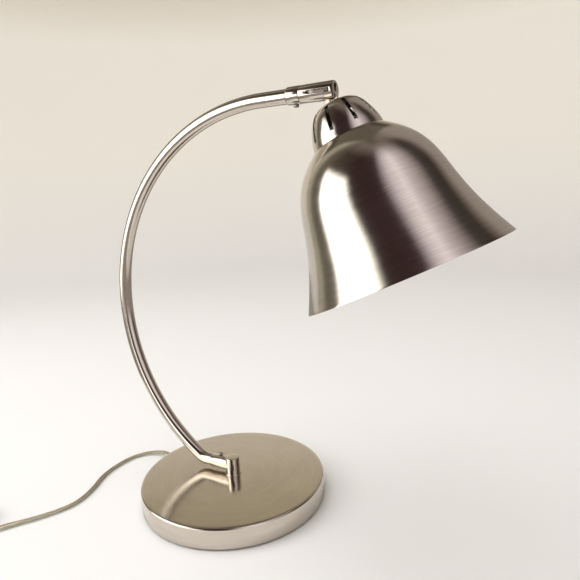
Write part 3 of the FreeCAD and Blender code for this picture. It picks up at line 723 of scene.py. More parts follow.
def makeRibTree():  # rings along an axis whose radius changes evenly from the first to the last
    tree, sheet, start = treeWith("ribs", {
        "Count": 6, "Start": 0.0, "Pitch": 0.002, "First Radius": 0.004, "Last Radius": 0.003,
        "Thickness": 0.0004, "Finish": None})
    count, first = start.also("Count"), start.also("First Radius")
    rail = sheet.shape("CurvePrimitiveCircle", {"Resolution": 40, "Radius": 1.0})
    number = sheet.shape("InputIndex")
    radius = first + (start.also("Last Radius") - first) * number / (count - 1.0)
    points = sheet.shape("MeshLine", {
        "Count": count, "Start Location": sheet.join(0.0, 0.0, start.also("Start")),
        "Offset": sheet.join(0.0, 0.0, start.also("Pitch"))})
    rings = sheet.shape("InstanceOnPoints", {
        "Points": points, "Instance": rail, "Scale": sheet.join(radius, radius, 1.0)})
    rings = sheet.shape("RealizeInstances", {"Geometry": rings})
    section = sheet.shape("CurvePrimitiveCircle", {
        "Resolution": 8, "Radius": start.also("Thickness")})
    ribs = sheet.shape("CurveToMesh", {"Curve": rings, "Profile Curve": section})
    both = sheet.shape("JoinGeometry", {"Geometry": ribs})
    tree.links.new(start.socket, both.socket.node.inputs["Geometry"])
    endTree(sheet, both, start)
    return tree


spinTree, ventTree, ribTree = makeSpinTree(), makeVentTree(), makeRibTree()


def holderOf(mesh, name):
    holder = bpy.data.objects.new(name, mesh)
    scene.collection.objects.link(holder)
    return holder


def carved(mesh, cutters=(), added=(), bevel=0.0, steps=2, angle=35.0):  # cut and joined with other meshes
    holder = holderOf(mesh, mesh.name)
    others = []
    for operation, meshes in (("UNION", added), ("DIFFERENCE", cutters)):
        for k, one in enumerate(meshes):
            other = holderOf(one, f"{mesh.name}{operation}{k}")
            others.append(other)
            cut = holder.modifiers.new(operation, "BOOLEAN")
            cut.operation = operation
            cut.solver = "EXACT"
            cut.object = other
    if bevel:
        edge = holder.modifiers.new("edge", "BEVEL")
        edge.width = bevel
        edge.segments = steps
        edge.limit_method = "ANGLE"
        edge.angle_limit = math.radians(angle)
    bpy.context.view_layer.update()
    made = finished(holder, mesh.name)
    for other in others:
        bpy.data.objects.remove(other)
    return made


def prism(name, outline, low, high, place=None):  # an outline in X and Y carried from low to high
    count = len(outline)
    points = [(x, y, level) for level in (low, high) for x, y in outline]
    faces = quads(2, count) + [tuple(range(count))[::-1], tuple(count + k for k in range(count))]
    return meshFrom(name, points, faces, place)


def rod(name, radius, low, high, place=None, steps=48):
    return turnedMesh(name, [(0, low), (radius, low), (radius, high), (0, high)], place, steps)


def turnedPiece(name, outline, place, steps, body, finish, node):
    newPiece(name, turnedMesh(name, millimetres(*outline), place, steps), body, finish, [node])


def roundedEdge(centreX, centreY, radius, fromAngle, toAngle, steps=8):
    angles = [math.radians(fromAngle + (toAngle - fromAngle) * k / steps) for k in range(steps + 1)]
    return [(centreX + radius * math.cos(a), centreY + radius * math.sin(a)) for a in angles]


# Base: spun cover and the felt pad under it.
base = {"radius": 95.0, "top": 22.0, "low": 1.6, "lipTop": 2.6, "wall": 1.2, "lipInside": 88.8, "edge": 2.2,
        "hole": 5.0, "padRadius": 92.5, "padTop": 1.6, "cordAngle": 168.0, "cordHeight": 6.2,
        "cordHole": 4.0}
cordPlace = moved(0, 0, base["cordHeight"] / 1000) @ turned(base["cordAngle"], "Z") @ turned(90, "Y")


def makeBase():
    outer, top, wall, edge, low = (base[key] for key in ("radius", "top", "wall", "edge", "low"))
    lipTop, lipInside, hole = base["lipTop"], base["lipInside"], base["hole"]
    outline = [(hole, top), (20, top), (60, top), (90, top)]
    outline += roundedEdge(outer - edge, top - edge, edge, 90, 0)
    outline += [(outer, low + 0.5), (outer - 0.15, low + 0.15), (outer - 0.5, low), (lipInside, low),
                (lipInside, lipTop), (outer - wall, lipTop), (outer - wall, top - edge)]
    outline += roundedEdge(outer - edge, top - edge, edge - wall, 0, 90, 4)[1:]
    outline += [(60, top - wall), (hole, top - wall)]
    shell = turnedMesh("baseShell", millimetres(*outline), uprightPlace, 192)
    cutters = [rod("cordHole", base["cordHole"] / 1000, 0.085, 0.105, cordPlace),
               rod("cordNotch", 0.0046, 0.080, 0.0936, cordPlace)]
    newPiece("baseShell", carved(shell, cutters), "stand", "baseNickel", ["base_shell"])
    radius, thick = base["padRadius"], base["padTop"]
    pad = [(0, 0), (radius - 0.5, 0), (radius, 0.5), (radius, 1.3), (radius - 0.3, thick), (0, thick)]
    turnedPiece("basePad", pad, uprightPlace, 128, "stand", "blackFelt", "base_pad")


makeBase()
print("base made")

# Post with its ring, the sleeve at the arm's foot and its clamp screw.
post = {"radius": 7.25, "low": 23.2, "top": 40.6, "edge": 0.45, "sleeveRadius": 7.0, "sleeveStart": 25.5,
        "sleeveBore": 6.42, "screwAlong": 17.0, "screwLean": 20.0}


def makePost():
    radius, low, top, edge = (post[key] for key in ("radius", "low", "top", "edge"))
    outline = [(0, low), (radius, low)] + roundedEdge(radius - edge, top - edge, edge, 0, 90, 4)
    blank = turnedMesh("post", millimetres(*outline, (3.0, top), (0, top)), uprightPlace, 96)
    bore = rod("bore", 0.0064, -0.0050, 0.010, footPlace)
    nipple = rod("nipple", 0.00495, 0.020, 0.0279, uprightPlace)
    newPiece("post", carved(blank, [bore, nipple]), "stand", "postNickel", ["post"])
    ring = [(5.0, 22.0)] + roundedEdge(7.8, 22.3, 0.3, -90, 0, 3) + roundedEdge(7.6, 22.7, 0.5, 0, 90, 4)
    turnedPiece("footRing", ring + [(5.0, low)], uprightPlace, 96, "stand", "postNickel",
                "foot_ring")
    outer, bore, start = post["sleeveRadius"], post["sleeveBore"], post["sleeveStart"]
    sleeve = [(bore, start), (outer - 0.4, start), (outer - 0.12, start - 0.12), (outer, start - 0.4),
              (outer, 9.0), (bore, 9.0)]
    blank = turnedMesh("lowerSleeve", millimetres(*sleeve), footPlace, 96)
    saddle = radius / 1000 + 0.00005
    for vertex in blank.vertices:  # the end follows the post's round side
        if vertex.co.x > -0.010:
            vertex.co.x = -math.sqrt(saddle ** 2 - vertex.co.y ** 2)
    newPiece("lowerSleeve", blank, "stand", "sleeveNickel", ["lower_sleeve"])


screw = {"head": 2.4, "height": 1.9, "shank": 1.5, "socket": 1.05, "socketDepth": 1.2, "seat": 0.15,
         "shankEnd": 6.4}


def makeScrew(name, node, x, height, lean, sleeveRadius):
    def hexagon(angle):
        return screw["socket"] / 1000 / math.cos((angle % (math.pi / 3)) - math.pi / 6)

    seat = sleeveRadius + screw["seat"]
    top = seat + screw["height"]
    place = moved(x / 1000, 0, height / 1000) @ turned(-lean, "X")
    rows = [(0, screw["shankEnd"]), (screw["shank"], screw["shankEnd"]), (screw["shank"], seat),
            (screw["head"], seat)] + roundedEdge(screw["head"] - 0.6, top - 0.6, 0.6, 0, 90, 4)
    floor = top - screw["socketDepth"]
    outline = millimetres(*rows)
    outline += [(lambda a: hexagon(a) + 0.00012, top / 1000), (hexagon, (top - 0.12) / 1000),
                (hexagon, floor / 1000), (0, (floor - 0.3) / 1000)]
    newPiece(name, turnedMesh(name, outline, place, 48), "stand", "screwSteel", [node])


makePost()
makeScrew("lowerScrew", "lower_screw", -post["screwAlong"], 31.6, post["screwLean"], 7.0)
makeScrew("upperScrew", "upper_screw", 97.2, 389.6, 180.0, 7.5)
print("post made")

# Arm: one bent tube. Its line is a straight, a tight bend, a long arc and a straight.
arm = {"radius": 6.35, "bore": 5.35, "arc": 193.2, "arcX": 63.0, "top": 389.6, "bend": 20.0, "footX": -5.2,
       "footZ": 31.6, "endX": 98.1, "sides": 48, "bendSteps": 14, "arcSteps": 110}


def armLine():
    arc, bend, footX, footZ = arm["arc"], arm["bend"], arm["footX"], arm["footZ"]
    centreX, centreZ = arm["arcX"], arm["top"] - arm["arc"]
    lean = math.acos((centreZ - footZ - bend) / (arc - bend))
    bendX = centreX - arc * math.sin(lean) + bend * math.sin(lean)
    line = [(footX + (bendX - footX) * k / 4, footZ) for k in range(4)]
    angles = [lean * k / arm["bendSteps"] for k in range(arm["bendSteps"])]
    line += [(bendX - bend * math.sin(a), footZ + bend * (1 - math.cos(a))) for a in angles]
    angles = [lean + (math.pi - lean) * k / arm["arcSteps"] for k in range(arm["arcSteps"])]
    line += [(centreX - arc * math.sin(a), centreZ - arc * math.cos(a)) for a in angles]
    line += [(centreX + (arm["endX"] - centreX) * k / 6, arm["top"]) for k in range(7)]
    return [Vector((x, 0, z)) / 1000 for x, z in line]


def makeArm():
    line = armLine()
    side = Vector((0, 1, 0))
    frames = []
    for k in range(len(line)):
        along = (line[min(k + 1, len(line) - 1)] - line[max(k - 1, 0)]).normalized()
        frames.append((side, along.cross(side)))
    outside, inside = (sweptMesh(name, line, circleSection(arm[size] / 1000, arm["sides"]), frames, False)
                       for name, size in (("armTube", "radius"), ("armBore", "bore")))
    shape = bmesh.new()
    shape.from_mesh(outside)
    shape.from_mesh(inside)
    openEdges = [edge for edge in shape.edges if edge.is_boundary]
    bmesh.ops.bridge_loops(shape, edges=[e for e in openEdges if e.verts[0].co.z < 0.1])
    bmesh.ops.bridge_loops(shape, edges=[e for e in openEdges if e.is_valid and e.verts[0].co.z > 0.1])
    bmesh.ops.recalc_face_normals(shape, faces=shape.faces)
    shape.to_mesh(outside)
    shape.free()
    newPiece("armTube", outside, "stand", "armNickel", ["arm_tube"])


makeArm()
print("arm made")

# Head: sleeve on the tube's end, slotted knuckle that turns in it, pin, and the link that carries the shade.
head = {"radius": 7.5, "sleeveStart": 89.5, "sleeveEnd": 102.5, "chamfer": 1.3, "knuckleStart": 102.8,
        "knuckleEnd": 133.4, "slotStart": 118.7, "slotWidth": 4.2, "slotRoof": 5.2, "pinX": 127.3,
        "journal": 4.5, "groove": 3.9, "wireBore": 2.6}


def makeHead():
    radius, start, end, chamfer = head["radius"], head["sleeveStart"], head["sleeveEnd"], head["chamfer"]
    sleeve = [(6.42, start), (radius - chamfer, start), (radius - 0.12, start + chamfer - 0.12),
              (radius, start + chamfer + 0.3), (radius, end - 0.35), (radius - 0.1, end - 0.1),
              (radius - 0.35, end), (4.56, end), (4.56, start + 9), (6.42, start + 9)]
    turnedPiece("headSleeve", sleeve, headPlace, 96, "stand", "headNickel", "head_sleeve")
    start, end, journal, groove = head["knuckleStart"], head["knuckleEnd"], head["journal"], head["groove"]
    blank = [(0, start - 8.6), (journal, start - 8.6), (journal, start - 4.95), (groove, start - 4.95),
             (groove, start - 3.85), (journal, start - 3.85), (journal, start), (radius - 0.35, start),
             (radius - 0.1, start + 0.1), (radius, start + 0.35), (radius, end - 0.7),
             (radius - 0.2, end - 0.2), (radius - 0.7, end), (0, end)]
    blank = turnedMesh("knuckle", millimetres(*blank), headPlace, 96)
    slotStart, half = head["slotStart"] / 1000, head["slotWidth"] / 2000
    wire = rod("wire", head["wireBore"] / 1000, 0.090, slotStart + 0.001, headPlace)
    outline = [(slotStart, -half), (0.140, -half), (0.140, half), (slotStart, half)]
    slot = prism("slot", outline, 0.375, (arm["top"] + head["slotRoof"]) / 1000)
    pinPlace = moved(head["pinX"] / 1000, 0, arm["top"] / 1000) @ turned(90, "X")
    bore = rod("pinBore", 0.00172, -0.012, 0.012, pinPlace)
    newPiece("knuckle", carved(blank, [wire, slot, bore], (), 0.00018), "knuckle", "headNickel",
             ["swivel_knuckle"])
    pin = [(0, -7.25), (1.3, -7.2), (1.68, -6.9), (1.68, 6.9), (1.3, 7.2), (0, 7.25)]
    turnedPiece("tiltPin", pin, pinPlace, 48, "knuckle", "zincPlate", "tilt_pin")


link = {"halfWidth": 4.9, "half": 1.8, "root": 10.6, "flangeTop": 10.2, "flangeLow": 12.0, "flange": 6.8,
        "stub": 4.9, "stubEnd": 34.0, "pitch": 0.9, "threadDepth": 0.35, "bore": 2.6, "window": 7.0}


def makeLink():
    wide, root = link["halfWidth"], link["root"]
    tongue = [(wide * math.cos(a), wide * math.sin(a)) for a in (math.pi * k / 24 for k in range(25))]
    flat = shadePlace @ turned(90, "X")
    tongue = prism("tiltLink", millimetres(*tongue, (-wide, -root), (wide, -root)), -link["half"] / 1000,
                   link["half"] / 1000, flat)
    flange, top, low = link["flange"], -link["flangeTop"], -link["flangeLow"]
    stub, end, pitch = link["stub"], -link["stubEnd"], link["pitch"]
    outline = [(0, top), (flange - 0.5, top), (flange, top - 0.5), (flange, low), (stub, low)]
    for k in range(int((low - end - 2.0) / pitch)):  # rolled thread on the stub
        level = low - 1.2 - k * pitch
        outline += [(stub, level), (stub - link["threadDepth"], level - pitch / 2)]
    outline += [(stub, end + 0.6), (stub - 0.4, end), (0, end)]
    threaded = turnedMesh("stub", millimetres(*outline), shadePlace, 64)
    bore = rod("linkBore", link["bore"] / 1000, -0.036, -link["window"] / 1000, shadePlace)
    pinBore = rod("pinBore", 0.00175, -0.01, 0.01, flat)
    newPiece("tiltLink", carved(tongue, [bore, pinBore], [threaded], 0.00015), "shade", "linkNickel",
             ["tilt_link"])


makeHead()
makeLink()
print("head made")

# Cap: spun dome with upright vents. The outline is share of the height, share of the way to the lower edge.
cap = {"top": 12.0, "height": 32.0, "flat": 7.2, "radius": 30.5, "wall": 1.0, "hole": 5.0, "edge": 0.2,
       "outline": [(0.0, 0.0), (0.055, 0.385), (0.225, 0.64), (0.485, 0.825), (0.745, 0.94), (1.0, 1.0)],
       "vents": 9, "firstVent": -8.0, "ventWidth": 3.3, "ventTop": 16.0, "ventLow": 37.4, "ventInside": 8.0}
# Bell: a collar inside the cap, a narrow shoulder, a round breast and a flared rim.
bell = {"neckStation": 44.0, "height": 116.8, "neck": 31.7, "rim": 86.3, "wall": 0.9, "collar": 3.2,
        "collarRadius": 28.9, "columns": 160,
        "outline": [(0.0, 0.0), (0.125, 0.284), (0.31, 0.492), (0.48, 0.586), (0.74, 0.755), (1.0, 1.0)]}


def spunLine(outline, first, last, top, height, perSpan):
    points = [(first + across * (last - first), -top - down * height, 0) for down, across in outline]
    return [(p.x, p.y) for p in smoothLine(points, perSpan)]


def insetLine(line, wall):
    inset = []
    for k, (radius, level) in enumerate(line):
        run = (Vector(line[min(k + 1, len(line) - 1)]) - Vector(line[max(k - 1, 0)])).normalized()
        inset.append((radius + run.y * wall, level - run.x * wall))
    return inset


def makeCap():
    top, wall, edge, hole = cap["top"], cap["wall"], cap["edge"], cap["hole"]
    outer = spunLine(cap["outline"], cap["flat"], cap["radius"], top, cap["height"], 8)
    inner = insetLine(outer, wall)
    inner[0] = (outer[0][0], outer[0][1] - wall)
    radius, low = outer[-1]
    inner[-1] = (radius - wall, low)
    lower = [(radius, low + edge), (radius - edge * 0.3, low + edge * 0.3), (radius - edge, low)]
    line = [(hole, -top)] + outer[:-1] + lower + inner[::-1] + [(hole, -top - wall)]
    first, last = cap["ventTop"], cap["ventLow"]
    # The vent tree gives the cap's inward faces the near-black painted shade.
    mesh = grown("ventCap", ventTree, turnedMesh("ventCap", millimetres(*line), None, 144), {
        "Vents": cap["vents"], "Vent Width": cap["ventWidth"] / 1000, "Vent Height": (last - first) / 1000,
        "Vent Middle": -(first + last) / 2000, "Vent Depth": 0.030, "Vent Inside": cap["ventInside"] / 1000,
        "First Angle": math.radians(cap["firstVent"]), "Finish": finishes["capNickel"],
        "Inside Finish": finishes["capInsidePaintedShade"]})
    mesh.transform(shadePlace)
    newPiece("ventCap", mesh, "shade", None, ["vent_cap"], 30)


def makeBell():
    neck, wall, collar, outside = bell["neckStation"], bell["wall"], bell["collar"], bell["collarRadius"]
    outer = spunLine(bell["outline"], bell["neck"], bell["rim"], neck, bell["height"], 16)
    inner = insetLine(outer, wall)
    inner[-1] = (inner[-1][0], outer[-1][1])
    run = (Vector(outer[-1]) - Vector(outer[-2])).normalized() * 0.25
    outer[-1] = (outer[-1][0] - run.x, outer[-1][1] - run.y)
    radius, level = outer[-1]
    rim = [(radius + run.x * 0.7, level + run.y * 0.95), (radius - 0.1, -neck - bell["height"])]
    line = outer + rim + inner[::-1] + [(outside - wall, -neck - wall), (outside - wall, -neck + collar),
                                        (outside, -neck + collar), (outside, -neck), outer[0]]
    lining = len(outer) + len(rim) - 0.6
    mesh = grown("bellShade", spinTree, outlineCurve("bellOutline", millimetres(*line)), {
        "Columns": bell["columns"], "Rows": len(line), "Inside Finish From": lining,
        "Inside Finish To": lining + len(inner) + 2.5, "Finish": finishes["shadeNickel"],
        "Inside Finish": finishes["whiteEnamel"]})
    mesh.transform(shadePlace)
    newPiece("bellShade", mesh, "shade", None, ["bell_shade"], 40)


makeCap()
makeBell()
print("shade made")

# Lamp holder, its key and the bulb, seen from under the shade.
holder = {"radius": 16.5, "wall": 0.8, "top": 27.0, "capLow": 41.0, "shellTop": 36.0, "keyStation": 50.0,
          "shaft": 1.6, "reach": 30.0, "paddle": (10.0, 8.0, 3.0)}


def bead(radius, station, width, height, steps=6):  # a rolled bead in a thin shell, from top to bottom
    return [(radius + height * math.sin(math.pi * k / steps), -station + width / 2 - width * k / steps)
            for k in range(steps + 1)]


def makeHolder():
    outer, wall, top, low = holder["radius"], holder["wall"], holder["top"], holder["capLow"]
    outside = [(4.95, -top), (7.9, -top), (outer - 2.0, -top - 4.0), (outer, -top - 7.0)]
    inside = [(4.95, -top - wall), (7.5, -top - wall), (outer - 2.8, -top - 4.4), (outer - wall, -top - 7.0)]
    outside = softCorners(outside, 1.6, 4, False)
    outside += [(outer, -low + 1.2), (outer, -low + 0.15), (outer - 0.15, -low), (outer - wall, -low)]
    turnedPiece("holderCap", outside + inside[::-1], shadePlace, 96, "shade", "holderMetal",
                "holder_cap")
    radius = outer - wall - 0.1
    inner = radius - wall
    line = [(radius, -holder["shellTop"]), (radius, -43.5)]
    for station in (57.0, 61.5, 66.0):
        line += bead(radius - 0.02, station, 2.6, -0.35)
    line += [(radius, -72.6), (radius - 0.15, -73.5), (radius - 0.6, -74.0), (inner - 0.6, -74.0),
             (inner - 0.6, -73.2), (inner, -73.0), (inner, -holder["shellTop"])]
    shell = turnedMesh("holderShell", millimetres(*line), shadePlace, 96)
    keyPlace = shadePlace @ moved(0, 0, -holder["keyStation"] / 1000) @ turned(-90, "Y")
    hole = rod("keyHole", (holder["shaft"] + 0.8) / 1000, 0.010, 0.020, keyPlace)
    newPiece("holderShell", carved(shell, [hole]), "shade", "holderMetal", ["holder_shell"])
    length, tall, thick = holder["paddle"]
    reach, radius, half = holder["reach"], holder["shaft"], tall / 2
    shaft = [(0, 5.0), (radius, 5.0), (radius, 19.0), (2.8, 19.6), (2.8, 22.0), (2.2, 23.2), (0, 23.2)]
    shaft = turnedMesh("switchKey", millimetres(*shaft), keyPlace, 48)
    outline = millimetres((-half, reach - length), (half, reach - length), (half, reach), (-half, reach))
    flat = keyPlace @ turned(90, "X")
    paddle = prism("paddle", softCorners(outline, 0.0026, 6), -thick / 2000, thick / 2000, flat)
    grooves = []
    for a in (reach - 3.0, reach - 4.6, reach - 6.2):
        outline = millimetres((-half - 1, a), (half + 1, a), (half + 1, a + 0.5), (-half - 1, a + 0.5))
        grooves += [prism("groove", outline, side * (thick / 2000 - 0.00025), side * (thick / 2000 + 0.001),
                          flat) for side in (1, -1)]
    newPiece("switchKey", carved(shaft, grooves, [paddle], 0.0003), "key", "keyBlack",
             ["switch_key"])


bulb = {"tip": 55.5, "capLength": 24.0, "capRadius": 12.9, "neckRadius": 12.4, "radius": 24.0,
        "centre": 119.5, "throat": 30.0, "wall": 0.8, "threadPitch": 3.6, "threadDepth": 0.85,
        "threadTop": 5.2, "threadLow": 19.2, "threadRows": 40}


def bulbLine(shrink):
    radius, hollow = bulb["radius"] - shrink, bulb["throat"] + shrink
    hollowX, centre = bulb["neckRadius"] + bulb["throat"], -bulb["centre"]
    rise = math.sqrt((bulb["radius"] + bulb["throat"]) ** 2 - hollowX ** 2)
    swell = math.atan2(rise, hollowX)
    line = [(bulb["neckRadius"] - shrink, -bulb["tip"] - bulb["capLength"] + 1.0)]
    line += [(hollowX - hollow * math.cos(swell * k / 10), centre + rise - hollow * math.sin(swell * k / 10))
             for k in range(11)]
    angles = [swell - (swell + math.pi / 2) * k / 36 for k in range(1, 37)]
    line += [(max(radius * math.cos(a), 0.0), centre + radius * math.sin(a)) for a in angles]
    line[-1] = (0.0, line[-1][1])
    return line


def makeBulb():
    turnedPiece("bulbGlass", bulbLine(0.0) + bulbLine(bulb["wall"])[::-1], shadePlace, 96, "shade",
                "bulbFrost", "bulb_glass")
    tip, radius, first, last, rows = (bulb[key] for key in ("tip", "capRadius", "threadTop", "threadLow",
                                                            "threadRows"))
    line = [(0, -tip), (3.6, -tip), (4.6, -tip - 1.2), (9.6, -tip - 3.2), (radius - 1.2, -tip - 4.6)]
    line += [(radius - 0.45, -tip - first - 14.0 * k / rows) for k in range(rows + 1)]
    line += [(radius - 0.45, -tip - 20.2), (radius, -tip - 20.8), (radius, -tip - 22.8), (0, -tip - 22.8)]
    mesh = turnedMesh("bulbCap", millimetres(*line), None, 72)
    for vertex in mesh.vertices:  # rolled thread
        depth = -vertex.co.z * 1000 - tip
        reach = math.hypot(vertex.co.x, vertex.co.y) * 1000
        if first <= depth <= last + 0.01 and reach > radius - 1.0:
            turn = math.atan2(vertex.co.y, vertex.co.x) / (2 * math.pi)
            fade = min(depth - first, last - depth, 1.5) / 1.5
            wave = math.cos(2 * math.pi * (depth / bulb["threadPitch"] + turn))
            grow = 1 + fade * bulb["threadDepth"] / 2 * wave / reach
            vertex.co.x *= grow
            vertex.co.y *= grow
    mesh.transform(shadePlace)
    newPiece("bulbCap", mesh, "shade", "bulbMetal", ["bulb_cap"], 60)


makeHolder()
makeBulb()
print("holder and bulb made")

# Lead's grommet, plug and tie.
grommet = {"root": 4.0, "tip": 3.4, "end": 115.0, "bore": 2.8, "flange": 4.5, "waist": 3.9, "ribs": 7}
plug = {"entry": (-251.1, -218.4, 8.5), "before": (-237.2, -226.2, 8.5), "length": 34.0, "bladeLength": 17.0,
        "bladeWidth": 6.35, "spacing": 12.7, "squareness": 0.45,
        "stations": [(12.0, 12.6, 10.6), (13.0, 13.6, 11.4), (17.0, 17.4, 13.4), (21.0, 21.2, 15.0),
                     (24.0, 23.4, 15.8), (28.0, 24.0, 16.0), (33.2, 24.0, 16.0), (34.0, 22.6, 14.6)]}
tie = {"centre": (-223.2, -178.4), "angle": 60.0, "outer": 39.1, "inner": 26.6, "low": 0.8, "high": 11.8,
       "wall": 0.8, "width": 6.0}


def makeGrommet():
    bore, flange, waist, root, tip, end = (grommet[key] for key in ("bore", "flange", "waist", "root", "tip",
                                                                    "end"))
    line = [(bore, 91.6), (flange, 91.6), (flange, 93.5), (waist, 93.5), (waist, 95.1), (flange, 95.1),
            (4.4, 96.2), (root - 0.25, 97.4), (tip - 0.35, end - 0.6), (tip - 0.6, end), (bore, end)]
    mesh = grown("leadGrommet", ribTree, turnedMesh("leadGrommet", millimetres(*line), None, 64), {
        "Count": grommet["ribs"], "Start": 0.0995, "Pitch": 0.0022, "First Radius": 0.00372,
        "Last Radius": 0.00320, "Thickness": 0.00033, "Finish": finishes["vinylLead"]})
    mesh.transform(cordPlace)
    newPiece("leadGrommet", mesh, "stand", None, ["cord_bushing"], 40)


def makePlug():
    entry, before = Vector(plug["entry"]), Vector(plug["before"])
    heading = math.atan2(entry.y - before.y, entry.x - before.x)
    place = Matrix.Translation(entry / 1000) @ Matrix.Rotation(heading, 4, "Z")
    neck = [(0, 0), (3.0, 0), (3.3, 0.4), (4.9, 13.0), (5.2, 15.0), (0, 15.0)]
    neckMesh = grown("plugNeck", ribTree, turnedMesh("plugNeck", millimetres(*neck), None, 48), {
        "Count": 5, "Start": 0.0022, "Pitch": 0.0021, "First Radius": 0.0034, "Last Radius": 0.0045,
        "Thickness": 0.0004, "Finish": finishes["vinylLead"]})
    neckMesh.transform(place @ turned(90, "Y"))
    points, sides, power = [], 48, plug["squareness"]
    for x, width, depth in plug["stations"]:
        points += [(x / 1000, math.copysign(abs(c) ** power, c) * width / 2000,
                    math.copysign(abs(s) ** power, s) * depth / 2000) for c, s in circleSection(1, sides)]
    faces = quads(len(plug["stations"]), sides)
    faces += [tuple(range(sides)), tuple(len(points) - sides + k for k in range(sides))]
    body = meshFrom("plugBody", points, faces, place)
    body.materials.append(finishes["vinylLead"])
    piece = newPiece("plugBody", joined("plugBody", [body, neckMesh]), "stand", "vinylLead",
                     ["plug_body"], 50)
    start, end, half = plug["length"], plug["length"] + plug["bladeLength"], plug["bladeWidth"] / 2
    outline = millimetres((start - 2, -half), (end, -half), (end, half), (start - 2, half))
    outline = softCorners(outline, 0.0016, 5)
    blades = []
    upright = place @ turned(90, "X")
    for way in (1, -1):
        middle = way * plug["spacing"] / 2000
        blade = prism("plugBlades", outline, middle - 0.00075, middle + 0.00075, upright)
        hole = rod("bladeHole", 0.0015, middle - 0.002, middle + 0.002,
                   upright @ moved((end - 4.5) / 1000, 0, 0), 32)
        blades.append(carved(blade, [hole], (), 0.0002))
    blades = newPiece("plugBlades", joined("plugBlades", blades), "stand", "brass", ["plug_blades"])
    return piece, blades


def makeTie():
    def window(grow, radius):
        inner, low = tie["inner"] - grow, tie["low"] - grow
        outer, high = tie["outer"] + grow, tie["high"] + grow
        return softCorners(millimetres((inner, low), (outer, low), (outer, high), (inner, high)), radius, 5)

    x, y = tie["centre"]
    place = moved(x / 1000, y / 1000, 0) @ turned(tie["angle"], "Z") @ turned(90, "X")
    half = tie["width"] / 2000
    band = prism("coilTie", window(tie["wall"], 0.0012), -half, half, place)
    opening = prism("tieWindow", window(0.0, 0.0005), -half - 0.001, half + 0.001, place)
    return newPiece("coilTie", carved(band, [opening], (), 0.00025), "stand", "blackStrap",
                    ["coil_tie"])


makeGrommet()
plugBody, plugBlades = makePlug()
coilTie = makeTie()
print("lead fittings made")

# CAD pieces that keep their own shape
keptNodes = {"base_weight": "ironCasting", "base_nipple": "zincPlate", "base_washer": "zincPlate",
             "base_nut": "zincPlate", "inner_lead": "vinylLead", "swivel_clip": "zincPlate",
             "stub_washer": "zincPlate", "stub_nut": "zincPlate", "holder_body": "phenolic",
             "thread_shell": "holderMetal", "centre_contact": "brass"}
for node, finish in keptNodes.items():
    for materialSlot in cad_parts[node].material_slots:
        materialSlot.material = finishes[finish]

# Studio: a round cove with a pale floor and a pale wall painted darker towards its top as shade, and what
# the metal mirrors, which only mirrors see.
studio = {
    "floorRadius": 1.55, "wallRadius": 2.3, "wallTop": 2.7, "cove": 0.75, "below": -0.0005,
    "floor": (0.80, 0.80, 0.815), "wall": (0.88, 0.85, 0.80), "wallHigh": (0.56, 0.51, 0.40),
    "wallTopColour": (0.16, 0.14, 0.11), "world": (0.16, 0.14, 0.11),
    "lights": [("overhead", (-0.2, -0.3, 2.3), 3.2, 56, (1.0, 0.985, 0.96)),
               ("side", (-1.0, -0.9, 0.9), 0.9, 9, (1.0, 0.99, 0.97))],
}
# Colours at strength 1 by azimuth in degrees from +X. A box gives its left and right edge with their
# softness, where its top begins to fade, where it ends, and its strength. The card is a ring on the floor.
screen = {
    "middle": (0.10, 0.0, 0.25), "distance": 1.35, "low": -10.5, "high": 85.0, "brightest": 3.2,
    "columns": 96, "rows": 40, "ceiling": (0.24, 0.20, 0.18), "fadeFrom": 64.0, "fadeTo": 80.0,
    "azimuths": [(-196, (0.75, 0.72, 0.62)), (-191, (0.46, 0.44, 0.36)), (-183, (0.44, 0.42, 0.34)),
                 (-178, (0.17, 0.15, 0.12)), (-164, (0.15, 0.13, 0.10)), (-156, (0.10, 0.08, 0.06)),
                 (-104, (0.05, 0.028, 0.028)), (-67, (0.055, 0.032, 0.033)), (-56, (0.55, 0.48, 0.52)),
                 (-47, (0.90, 0.83, 0.90)), (-30, (1.20, 1.12, 1.19)), (-14, (0.79, 0.71, 0.77)),
                 (0, (0.55, 0.48, 0.50)), (12, (0.30, 0.26, 0.26)), (23, (0.07, 0.06, 0.055)),
                 (42, (0.05, 0.04, 0.032)), (50, (0.20, 0.16, 0.14)), (60, (0.38, 0.33, 0.30)),
                 (96, (0.38, 0.33, 0.30))],
    "boxes": [(-128.0, 4.0, -92.0, 6.0, 9.0, 15.0, 2.4), (-161.0, 3.0, -111.0, 9.0, 32.0, 41.0, 3.2)],
    "card": (0.36, 1.45, 0.0003, (0.36, 0.32, 0.29)),
}


def stageFinish():
    sheet = startFinish("cove")
    point = sheet.point()
    x, y, z = sheet.split(point)
    # The wall darkens towards its top, first to warm grey and then to near-black: painted shade for the dim
    # upper room.
    wall = sheet.mix(sheet.range(z, 1.0, 1.45), studio["wall"], studio["wallHigh"])
    wall = sheet.mix(sheet.range(z, 1.75, 2.1), wall, studio["wallTopColour"])
    floor = sheet.mix(sheet.noise(point, 1.6, 2.0), shaded(studio["floor"], -0.015), studio["floor"])
    endFinish(sheet, {"Base Color": sheet.mix(sheet.range(z, 0.02, 0.5), floor, wall), "Roughness": 0.85})


